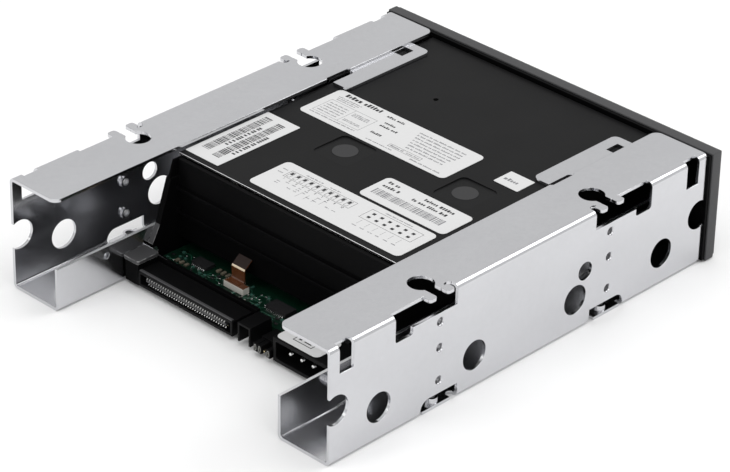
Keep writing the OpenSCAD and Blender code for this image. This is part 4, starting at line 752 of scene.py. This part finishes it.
# %% The wide label
black, grey = [], []
wide = sheet_of(45, -12)
words(black, wide, (4.5, 17.6, 17, 2.0), (24.5, 17.2, 8.5, 1.2))
words(grey, wide, *((3.2 + i * 0.4, 15.9 - i, 11 - i, 0.55) for i in range(3)))
grey += outline(wide, 3, 3.4, 21.5, 9.6, 0.14) + [wide(14.5, 3.4, 0.14, 9.6)]
words(grey, wide, *((4, 4.6 + i * 1.55, 9.2, 0.6) for i in range(5)))
words(grey, wide, *((15.6, v, 7.6, 0.5) for v in (5.0, 5.8, 9.2, 10.0, 10.8)))
words(grey, wide, (3, 2, 21, 0.6))
words(grey, wide, *((40 + i * 0.6, 16.8 - i * 1.75, 22 - 0.9 * i, 0.75) for i in range(7)))
words(black, wide, (27, 13.4, 6, 1.15), (27, 11.0, 8, 1.15), (28, 5.6, 5, 1.15))
black += outline(wide, 38.5, 3.0, 14.5, 1.9, 0.13)
words(grey, wide, (39.3, 3.5, 6, 0.9), (46.5, 3.6, 5.8, 0.6))
words(grey, wide, (30, 1.4, 12, 0.55), (50, 1.4, 14, 0.7))

# %% The diagram of ten switches
SWITCHES, SWITCH_STEP = 10, 2.9
setting = sheet_of(21.3, 34.2)
black += outline(setting, 5.6, 10.2, SWITCHES * SWITCH_STEP + 0.8, 4.6, 0.13)
for i in range(SWITCHES):
    u = 6.4 + i * SWITCH_STEP
    black += outline(setting, u, 10.8, 1.5, 3.4, 0.11)
    black.append(setting(u + 0.25, 12.4, 1.0, 1.5))
    for j, number in enumerate(str(i + 1)):
        black += digit(setting, int(number), u + 0.3 + j * 0.7, 8.9, 0.95)
    for v in (7.8, 6.6, 5.4):
        if rng.random() < 0.55:
            words(grey, setting, (u, v, 1.7, 0.5))
words(grey, setting, (2.2, 13.6, 2.4, 0.6), (2.2, 11.2, 2.4, 0.6))
words(grey, setting, (11, 15.6, 8, 0.6), (22, 15.5, 5, 0.6))
grey += [setting(18 + i * 3.0, 3.4 + 0.6 * i, 0.12, 3.2) for i in range(4)]

# %% The diagram of jumper pins
JUMPER_COLUMNS, JUMPER_STEP = 6, 3.45
black += outline(setting, 41.2, 9.0, 22.6, 6.6, 0.13)
for i in range(JUMPER_COLUMNS):
    shift = i * JUMPER_STEP
    black += [setting(43.2 + shift, v, 1.25, 1.15) for v in (10.4, 13.0)]
    grey.append(setting(43.7 + shift, 5.4, 0.12, 2.8))
    words(grey, setting, (43.0 + shift, 4.0, 2.0, 0.55))
words(grey, setting, (46, 16.4, 12, 0.6))

# %% The smaller labels
barred = sheet_of(-8.7, 14.5)
words(black, barred, (2.6, 11.6, 5.5, 1.4), (18.5, 11.6, 13, 1.4))
words(black, barred, (2.6, 8.9, 7.2, 1.4), (15.5, 8.9, 16, 1.4))
grey += bars(barred, 2.6, 3.4, 30, 3.6)

beside = sheet_of(50.4, 34.8)
black += bars(beside, 2.0, 5.5, 29, 3.4, across=True)
black += bars(beside, 8.4, 4.0, 30, 3.4, across=True)
for u, v, last in ((6.0, 12, 28), (12.4, 9, 25)):
    while v < last:
        black.append(beside(u, v, 1.4, 0.75))
        v += rng.choice((1.05, 1.05, 1.6))

words(grey, sheet_of(-33.5, -23), (1.6, 3.2, 6.5, 1.7))

power = sheet_of(-19.7, 61.65)
power_black = outline(power, 5.2, 2.6, 8.2, 3.0, 0.3)
power_black += [power(6.6, 3.9, 1.2, 0.9), power(9.0, 3.9, 3.0, 0.5)]
words(power_black, power, (5.2, 7.4, 9.0, 0.9))
print(len(black) + len(power_black), "black marks,", len(grey), "grey marks")

# %% Print them
label_top = box_of("labels")[1][2]
power_top = box_of("power_connector")[1][2] + (label_top - COVER_TOP)
prints = {"black": bmesh.new(), "grey": bmesh.new()}
for ink, marks, top in (("black", black, label_top), ("grey", grey, label_top),
                        ("black", power_black, power_top)):
    for x0, y0, x1, y1 in marks:
        add_box(prints[ink], (x0, y0, top - INK_SUNK), (x1, y1, top + INK_PROUD))
for ink, look in (("black", "ink"), ("grey", "ink_grey")):
    printed = place("label_print_" + ink, to_mesh(prints[ink]), look, slot="label_paper")
    print(printed.name, len(printed.data.polygons), "faces")

# %% [markdown]
# ## Threads in the tapped holes
# Every tapped hole of the brackets shows its thread as rings of darkened steel, a painted shade
# that stands for the dark of the bore. The holes are known from the record's mounts. A Geometry
# Nodes tree puts a wound wire on each hole, turned to its axis; the wire sits half in the wall, so
# that only the crests of the thread stand out. Every tree of this scene ends alike: its instances
# become real geometry and take their material.

# %% Open and close a tree that grows a mesh
def open_growth(name, *inputs):
    """A Geometry Nodes group with a geometry and a material beside its own inputs."""
    return open_group(
        name, [("Geometry", GEOMETRY, None), *inputs, ("Material", MATERIAL, None)],
        [("Geometry", GEOMETRY)], "GeometryNodeTree")


def coated(tree, geometry, material, chosen=True):
    made = node(tree, "GeometryNodeSetMaterial",
                {"Geometry": geometry, "Selection": chosen, "Material": material})
    return made.outputs[0]


def close_growth(tree, given, out, instances, tinned=None):
    """Realise the instances and set their material, and a second one on the tinned faces."""
    real = node(tree, "GeometryNodeRealizeInstances", {0: instances.outputs[0]}).outputs[0]
    grown = coated(tree, real, given["Material"])
    if tinned:
        grown = coated(tree, grown, given["End Material"], tinned)
    tree.links.new(grown, out["Geometry"])
    return tree


# %% Tree of a thread
def build_thread():
    tree, given, out = open_growth(
        "Thread in a hole", ("Radius", FLOAT, 0.00125), ("Pitch", FLOAT, 0.0005),
        ("Turns", FLOAT, 4.0), ("Wire", FLOAT, 0.00014))
    rise = math_node(tree, "MULTIPLY", given["Pitch"], given["Turns"])
    coil = node(tree, "GeometryNodeCurveSpiral", {
        "Resolution": 20, "Rotations": given["Turns"], "Height": rise,
        "Start Radius": given["Radius"], "End Radius": given["Radius"]})
    section = node(tree, "GeometryNodeCurvePrimitiveCircle",
                   {"Resolution": 5, "Radius": given["Wire"]})
    wire = node(tree, "GeometryNodeCurveToMesh", {
        "Curve": coil.outputs[0], "Profile Curve": section.outputs[0], "Fill Caps": True})
    axis = node(tree, "GeometryNodeInputNamedAttribute", {"Name": "axis"}, data_type="FLOAT_VECTOR")
    turned = node(tree, "FunctionNodeAlignRotationToVector", {"Vector": axis.outputs[0]}, axis="Z")
    wound = node(tree, "GeometryNodeInstanceOnPoints", {
        "Points": given["Geometry"], "Instance": wire.outputs[0],
        "Rotation": turned.outputs[0]})
    return close_growth(tree, given, out, wound)


# %% Holes of the brackets
def hole_places():
    """Each tapped hole as its mouth and the direction into the sheet, in metres."""
    holes = []
    for mount in frame["record"]["mounts"]:
        if mount["kind"] != "bolt_pattern":
            continue
        middle, inward = Vector(mount["pos_m"]), -Vector(mount["axis"])
        first = mount["dims"]["spacing_x_mm"] * MM / 2
        second = mount["dims"].get("spacing_y_mm", 0) * MM / 2
        flat = abs(inward.z) > 0.5
        one = Vector((1, 0, 0)) if flat else Vector((0, 1, 0))
        two = Vector((0, 1, 0)) if flat else Vector((0, 0, 1))
        for a in (-1, 1):
            for b in (-1, 1) if second else (0,):
                holes.append((middle + a * first * one + b * second * two, inward))
    return holes


THREAD_FROM, THREAD_RADIUS = 0.5, 1.27
holes = hole_places()
mouths = bpy.data.meshes.new("mouths")
mouths.from_pydata([at + inward * THREAD_FROM * MM for at, inward in holes], [], [])
axes = mouths.attributes.new("axis", "FLOAT_VECTOR", "POINT")
for i, (at, inward) in enumerate(holes):
    axes.data[i].vector = inward
# The threads take darkened steel, a painted shade for the bore.
threads = grow(build_thread(), mouths, radius=THREAD_RADIUS * MM, material=finish["thread_steel"])
threads.shade_smooth()
place("hole_threads", threads, slot="zinc")
print(len(holes), "threaded holes")

# %% [markdown]
# ## Rows of contacts
# Contacts and legs repeat at a fixed pitch. One tree repeats a given shape along a step, so the
# connector and the chips all use it. The shape is a small mesh with a bent nose, drawn from a side
# outline.

# %% Tree of a row
def build_row():
    tree, given, out = open_growth(
        "Row of a shape", ("Count", INTEGER, 10),
        ("Start", VECTOR, (0, 0, 0)), ("Step", VECTOR, (0.001, 0, 0)))
    points = node(tree, "GeometryNodeMeshLine", {
        "Count": given["Count"], "Start Location": given["Start"],
        "Offset": given["Step"]}, mode="OFFSET")
    shapes = node(tree, "GeometryNodeInstanceOnPoints",
                  {"Points": points.outputs[0], "Instance": given["Geometry"]})
    return close_growth(tree, given, out, shapes)


row_tree = build_row()


def swept(side_outline, width):
    """A closed shape from a side outline in mm, (y, z) pairs, with a width along x."""
    bm = bmesh.new()
    near, far = ([bm.verts.new(Vector((x, y, z)) * MM) for y, z in side_outline]
                 for x in (-width / 2, width / 2))
    add_prism(bm, far, near)
    return to_mesh(bm)


def place_row(name, shape, material, slot, start, pitch, count):
    mesh = grow(row_tree, shape, count=count, start=Vector(start) * MM,
                step=Vector((pitch, 0, 0)) * MM, material=finish[material])
    place(name, mesh, slot=slot)
    print(name, count, "pieces")


# %% [markdown]
# The interface connector shows two rows of contact noses just inside its mouth, above and below
# the nose of its tongue, and a rail along its upper lip; the nose and the rail are black plastic
# with a painted sheen of lighter grey. All end short of the mouth, so that nothing stands out of
# the shroud.

# %% Interface connector
port_low, port_high = box_of("interface_connector")
pins_low, pins_high = box_of("interface_pins")
port_middle = (port_low[0] + port_high[0]) / 2
CONTACTS, CONTACT_WIDTH, CONTACT_INSET = 34, 0.42, 0.3
contact_pitch = (pins_high[0] - pins_low[0] - 2 * CONTACT_INSET) / (CONTACTS - 1)
NOSE = [(-1.6, -0.12), (0.2, -0.12), (0.5, 0.16), (0.9, 0.16), (1.1, -0.1), (1.35, -0.1),
        (1.0, 0.42), (0.3, 0.42), (0.0, 0.12), (-1.6, 0.12)]
RAIL = [(-1.3, 0.0), (-1.15, 0.36), (-0.35, 0.36), (-0.2, 0.0)]
TONGUE_NOSE = [(-1.9, -0.4), (-0.6, -0.4), (-0.45, -0.25), (-0.45, 0.25), (-0.6, 0.4), (-1.9, 0.4)]


def contact_row(name, side_outline, material, depth, z):
    start = (pins_low[0] + CONTACT_INSET, port_high[1] - depth, z)
    place_row(name, swept(side_outline, CONTACT_WIDTH), material, "contact_gold", start,
              contact_pitch, CONTACTS)


def along_port(name, side_outline, length, z):
    bar = swept(side_outline, length)
    bar.transform(Matrix.Translation(Vector((port_middle, port_high[1], z)) * MM))
    # The rail and the tongue's nose take a lighter black, a painted sheen.
    place(name, shaded(bar), "cap_satin", slot="connector_black")


contact_row("contact_noses_upper", NOSE, "contact_dull", 1.5, pins_high[2] - 0.1)
contact_row("contact_noses_lower", [(y, -z) for y, z in NOSE], "contact_tin", 1.4,
            pins_low[2] - 0.3)
along_port("interface_rail", RAIL, port_high[0] - port_low[0] - 1.0, port_high[2])
along_port("interface_tongue_nose", TONGUE_NOSE, pins_high[0] - pins_low[0] + 0.8,
           (pins_low[2] + pins_high[2]) / 2)

# %% [markdown]
# The rear ends of the small push-on links show an oval rim round their opening. Each rim is a ring
# of the same plastic in a lighter grey, a painted highlight, that sits in the end face of its link.

# %% A rounded ring
def add_ring(bm, middle, half, wall, low_y, high_y, steps=16):
    """An upright rounded ring in the X-Z plane, from low_y to high_y, in mm."""
    turns = [2 * math.pi * i / steps for i in range(steps)]
    outer_low, inner_low, outer_high, inner_high = (
        [bm.verts.new(Vector((middle[0] + (half[0] - inset) * math.cos(turn), y,
                              middle[1] + (half[1] - inset) * math.sin(turn))) * MM)
         for turn in turns] for y in (low_y, high_y) for inset in (0, wall))
    for first, second in ((outer_low, outer_high), (outer_high, inner_high),
                          (inner_high, inner_low), (inner_low, outer_low)):
        bridge(bm, first, second)
    bmesh.ops.recalc_face_normals(bm, faces=bm.faces)


# %% Separate solids of a node
def islands(name):
    """The box of each separate solid of a node, in mm."""
    bm = merged_copy(name)
    left = set(bm.verts)
    boxes = []
    while left:
        heap, found = [left.pop()], []
        while heap:
            vert = heap.pop()
            found.append(vert.co / MM)
            for edge in vert.link_edges:
                other = edge.other_vert(vert)
                if other in left:
                    left.discard(other)
                    heap.append(other)
        boxes.append([[f(c[i] for c in found) for i in range(3)] for f in (min, max)])
    bm.free()
    return sorted(boxes)


# %% Rims of the links
RIM_INSET, RIM_WALL, RIM_SUNK, RIM_PROUD = 0.25, 0.3, 0.3, 0.08
bm = bmesh.new()
links = islands("jumper_shunts")
for low, high in links:
    middle = ((low[0] + high[0]) / 2, (low[2] + high[2]) / 2)
    half = ((high[0] - low[0]) / 2 - RIM_INSET, (high[2] - low[2]) / 2 - RIM_INSET)
    add_ring(bm, middle, half, RIM_WALL, high[1] - RIM_SUNK, high[1] + RIM_PROUD)
# The rims are a painted highlight in a lighter grey.
place("link_rims", shaded(to_mesh(bm)), "rim_grey", slot="connector_black")
print(len(links), "rims")

# %% [markdown]
# ## The mark on the eject button
# A triangle over a bar is the common sign for taking a cartridge out. It is a thin print that sits
# in the button's face and moves with it.

# %% Eject mark
button_low, button_high = box_of("eject_button")
mark_x = (button_low[0] + button_high[0]) / 2
mark_z = (button_low[2] + button_high[2]) / 2
MARK_HALF, MARK_TALL = 1.3, 1.3
BAR_TOP, BAR_FOOT = -0.4, -0.85
MARK_OUTLINES = [
    [(-MARK_HALF, 0.0), (MARK_HALF, 0.0), (0.0, MARK_TALL)],
    [(-MARK_HALF, BAR_FOOT), (MARK_HALF, BAR_FOOT), (MARK_HALF, BAR_TOP), (-MARK_HALF, BAR_TOP)],
]
bm = bmesh.new()
for shape in MARK_OUTLINES:
    near, far = ([bm.verts.new(Vector((mark_x + x, button_low[1] + y, mark_z + z)) * MM)
                  for x, z in shape] for y in (-INK_PROUD, INK_SUNK * 3))
    add_prism(bm, far, near)
place("eject_mark", to_mesh(bm), "label_paper", body_of_node("eject_button"), "label_paper")
print("mark in the middle of a face", round(button_high[0] - button_low[0], 1), "mm wide")

# %% [markdown]
# ## The visible strip of the main board
# Behind the mechanism a strip of the green board lies open. It carries copper traces under the
# green coat, small parts soldered at both ends, plated through holes and the legs of its chips.
# The traces follow random routes of straight runs and half turns from a fixed seed.

# %% Free places of the strip
STRIP_UNDER, SIDE_MARGIN, REAR_MARGIN = 12, 1.0, 0.6
board_right, board_rear, BOARD_TOP = box_of("main_board")[1]
strip_half, strip_to = board_right - SIDE_MARGIN, board_rear - REAR_MARGIN
strip_from = box_of("chassis")[1][1] - STRIP_UNDER
ON_STRIP = ("board_chips", "board_parts", "flex_socket", "power_connector", "rear_housing")
taken = [box for name in ON_STRIP for box in islands(name)
         if box[1][1] > strip_from and box[0][2] < BOARD_TOP + 1]
print(len(taken), "places of the strip are taken")


def free(x, y, room):
    """Whether a spot of the strip has that much room around it, in mm."""
    inside = abs(x) < strip_half - room and strip_from + room < y < strip_to - room
    return inside and not any(
        low[0] - room < x < high[0] + room and low[1] - room < y < high[1] + room
        for low, high in taken)


# %% Tree of traces
def build_traces():
    tree, given, out = open_growth(
        "Flat line along edges", ("Width", FLOAT, 0.00025), ("Thickness", FLOAT, 0.00005))
    curve = node(tree, "GeometryNodeMeshToCurve", {"Mesh": given["Geometry"]})
    upright = node(tree, "GeometryNodeSetCurveNormal", {"Curve": curve.outputs[0]}, mode="Z_UP")
    section = node(tree, "GeometryNodeCurvePrimitiveQuadrilateral",
                   {"Width": given["Width"], "Height": given["Thickness"]})
    band = node(tree, "GeometryNodeCurveToMesh", {
        "Curve": upright.outputs[0], "Profile Curve": section.outputs[0], "Fill Caps": True})
    return close_growth(tree, given, out, band)


# %% Routes of the traces
TRACE_TRIES, TRACE_ROOM, TRACE_PROUD = 120, 0.3, 0.01
points, edges, ends = [], [], []
for _ in range(TRACE_TRIES):
    x, y = rng.uniform(-strip_half, strip_half), rng.uniform(strip_from, strip_to)
    heading = rng.randrange(8)
    route = [(x, y)]
    for _ in range(rng.randint(2, 4)):
        reach = rng.uniform(1.2, 5.0)
        x += math.cos(heading * math.pi / 4) * reach
        y += math.sin(heading * math.pi / 4) * reach
        if not free(x, y, TRACE_ROOM):
            break
        route.append((x, y))
        heading += rng.choice((-1, 1))
    if len(route) < 3 or not free(*route[0], TRACE_ROOM):
        continue
    first = len(points)
    points += [Vector((px, py, BOARD_TOP + TRACE_PROUD)) * MM for px, py in route]
    edges += [(first + i, first + i + 1) for i in range(len(route) - 1)]
    ends += [route[0], route[-1]]
routes = bpy.data.meshes.new("routes")
routes.from_pydata(points, edges, [])
traces = grow(build_traces(), routes, material=finish["trace_green"])
place("board_traces", traces, slot="board_green")
print(len(ends) // 2, "traces")

# %% Tree of what stands on points
def build_scatter():
    tree, given, out = open_growth(
        "Shape on points", ("Shape", OBJECT, None), ("End Material", MATERIAL, None))
    shape = node(tree, "GeometryNodeObjectInfo", {"Object": given["Shape"]})
    quarter = node(tree, "GeometryNodeInputNamedAttribute", {"Name": "quarter"}, data_type="FLOAT")
    angle = math_node(tree, "MULTIPLY", quarter.outputs[0], math.pi / 2)
    turned = node(tree, "ShaderNodeCombineXYZ", {"Z": angle})
    stood = node(tree, "GeometryNodeInstanceOnPoints", {
        "Points": given["Geometry"], "Instance": shape.outputs["Geometry"],
        "Rotation": turned.outputs[0]})
    tinned = node(tree, "GeometryNodeInputNamedAttribute", {"Name": "tinned"}, data_type="FLOAT")
    return close_growth(tree, given, out, stood, tinned.outputs[0])


# %% Scatter a shape over the strip
scatter_tree = build_scatter()


def scatter(name, shape, spots, material, slot):
    """A shape on (x, y, quarter turns) spots of the board in mm, its tinned faces in bright tin."""
    base = bpy.data.meshes.new("spots")
    base.from_pydata([Vector((x, y, BOARD_TOP)) * MM for x, y, _ in spots], [], [])
    quarters = base.attributes.new("quarter", "FLOAT", "POINT")
    for i, spot in enumerate(spots):
        quarters.data[i].value = spot[2]
    model = bpy.data.objects.new("model", shape)
    scene.collection.objects.link(model)
    mesh = grow(scatter_tree, base, shape=model, material=finish[material],
                end_material=finish["contact_tin"])
    bpy.data.objects.remove(model)
    place(name, mesh, slot=slot)
    print(name, len(spots))


# %% A soldered part
PART_LONG, PART_WIDE, CAP_PROUD, CHAMFER = 1.6, 0.8, 0.02, 0.05


def solder_part(tall, end):
    """A small part along x: a body between two ends, whose flat faces are tinned."""
    bm = bmesh.new()
    tinned = bm.faces.layers.float.new("tinned")
    half, side = PART_LONG / 2, PART_WIDE / 2
    cap_side, cap_top = side + CAP_PROUD, tall + CAP_PROUD
    add_box(bm, (-half + end, -side, CHAMFER), (half - end, side, tall))
    for start, stop in ((-half, -half + end), (half - end, half)):
        for face in add_box(bm, (start, -cap_side, 0.0), (stop, cap_side, cap_top)):
            face[tinned] = 1.0
    for face in bevel(bm, bm.edges[:], CHAMFER * MM, 1, clamped=True)["faces"]:
        face[tinned] = 0.0
    return to_mesh(bm)


# %% Small parts and plated holes
def spots_for(wanted, room):
    spots = []
    for _ in range(wanted * 12):
        x, y = rng.uniform(-strip_half, strip_half), rng.uniform(strip_from, strip_to)
        if free(x, y, room) and all(abs(x - a) + abs(y - b) > 2.4 * room for a, b, _ in spots):
            spots.append((x, y, rng.randrange(2)))
        if len(spots) == wanted:
            break
    taken.extend([(x - room, y - room, 0), (x + room, y + room, 9)] for x, y, _ in spots)
    return spots


scatter("small_capacitors", solder_part(0.7, 0.35), spots_for(26, 1.0), "part_teal", "part_tan")
scatter("small_resistors", solder_part(0.45, 0.3), spots_for(22, 1.0), "chip_black", "chip_black")
bm = bmesh.new()
add_disc(bm, (0, 0, 0.02), 0.42, 0.36, 0.06, 10)
hole_spots = [(x, y, 0) for x, y in ends[::2]] + spots_for(30, 0.5)
scatter("plated_holes", to_mesh(bm), hole_spots, "contact_tin", "contact_tin")

# %% Legs of the chips
LEG_PITCH, LEG_WIDTH, LEG_MARGIN = 0.8, 0.35, 0.3
LEG = [(0.0, 0.5), (0.35, 0.5), (0.6, 0.12), (1.0, 0.12), (1.0, 0.0), (0.5, 0.0), (0.25, 0.36),
       (0.0, 0.36)]
for i, (low, high) in enumerate(islands("board_chips")):
    if high[1] < strip_from:
        continue
    count = int((high[0] - low[0] - 2 * LEG_MARGIN) / LEG_PITCH)
    first = (low[0] + high[0]) / 2 - LEG_PITCH * (count - 1) / 2
    for way, row, edge_y in ((1, "rear", high[1]), (-1, "front", low[1])):
        shape = swept([(way * y, z) for y, z in LEG], LEG_WIDTH)
        place_row(f"chip_{i}_legs_{row}", shape, "contact_tin", "contact_tin",
                  (first, edge_y, BOARD_TOP), LEG_PITCH, count)
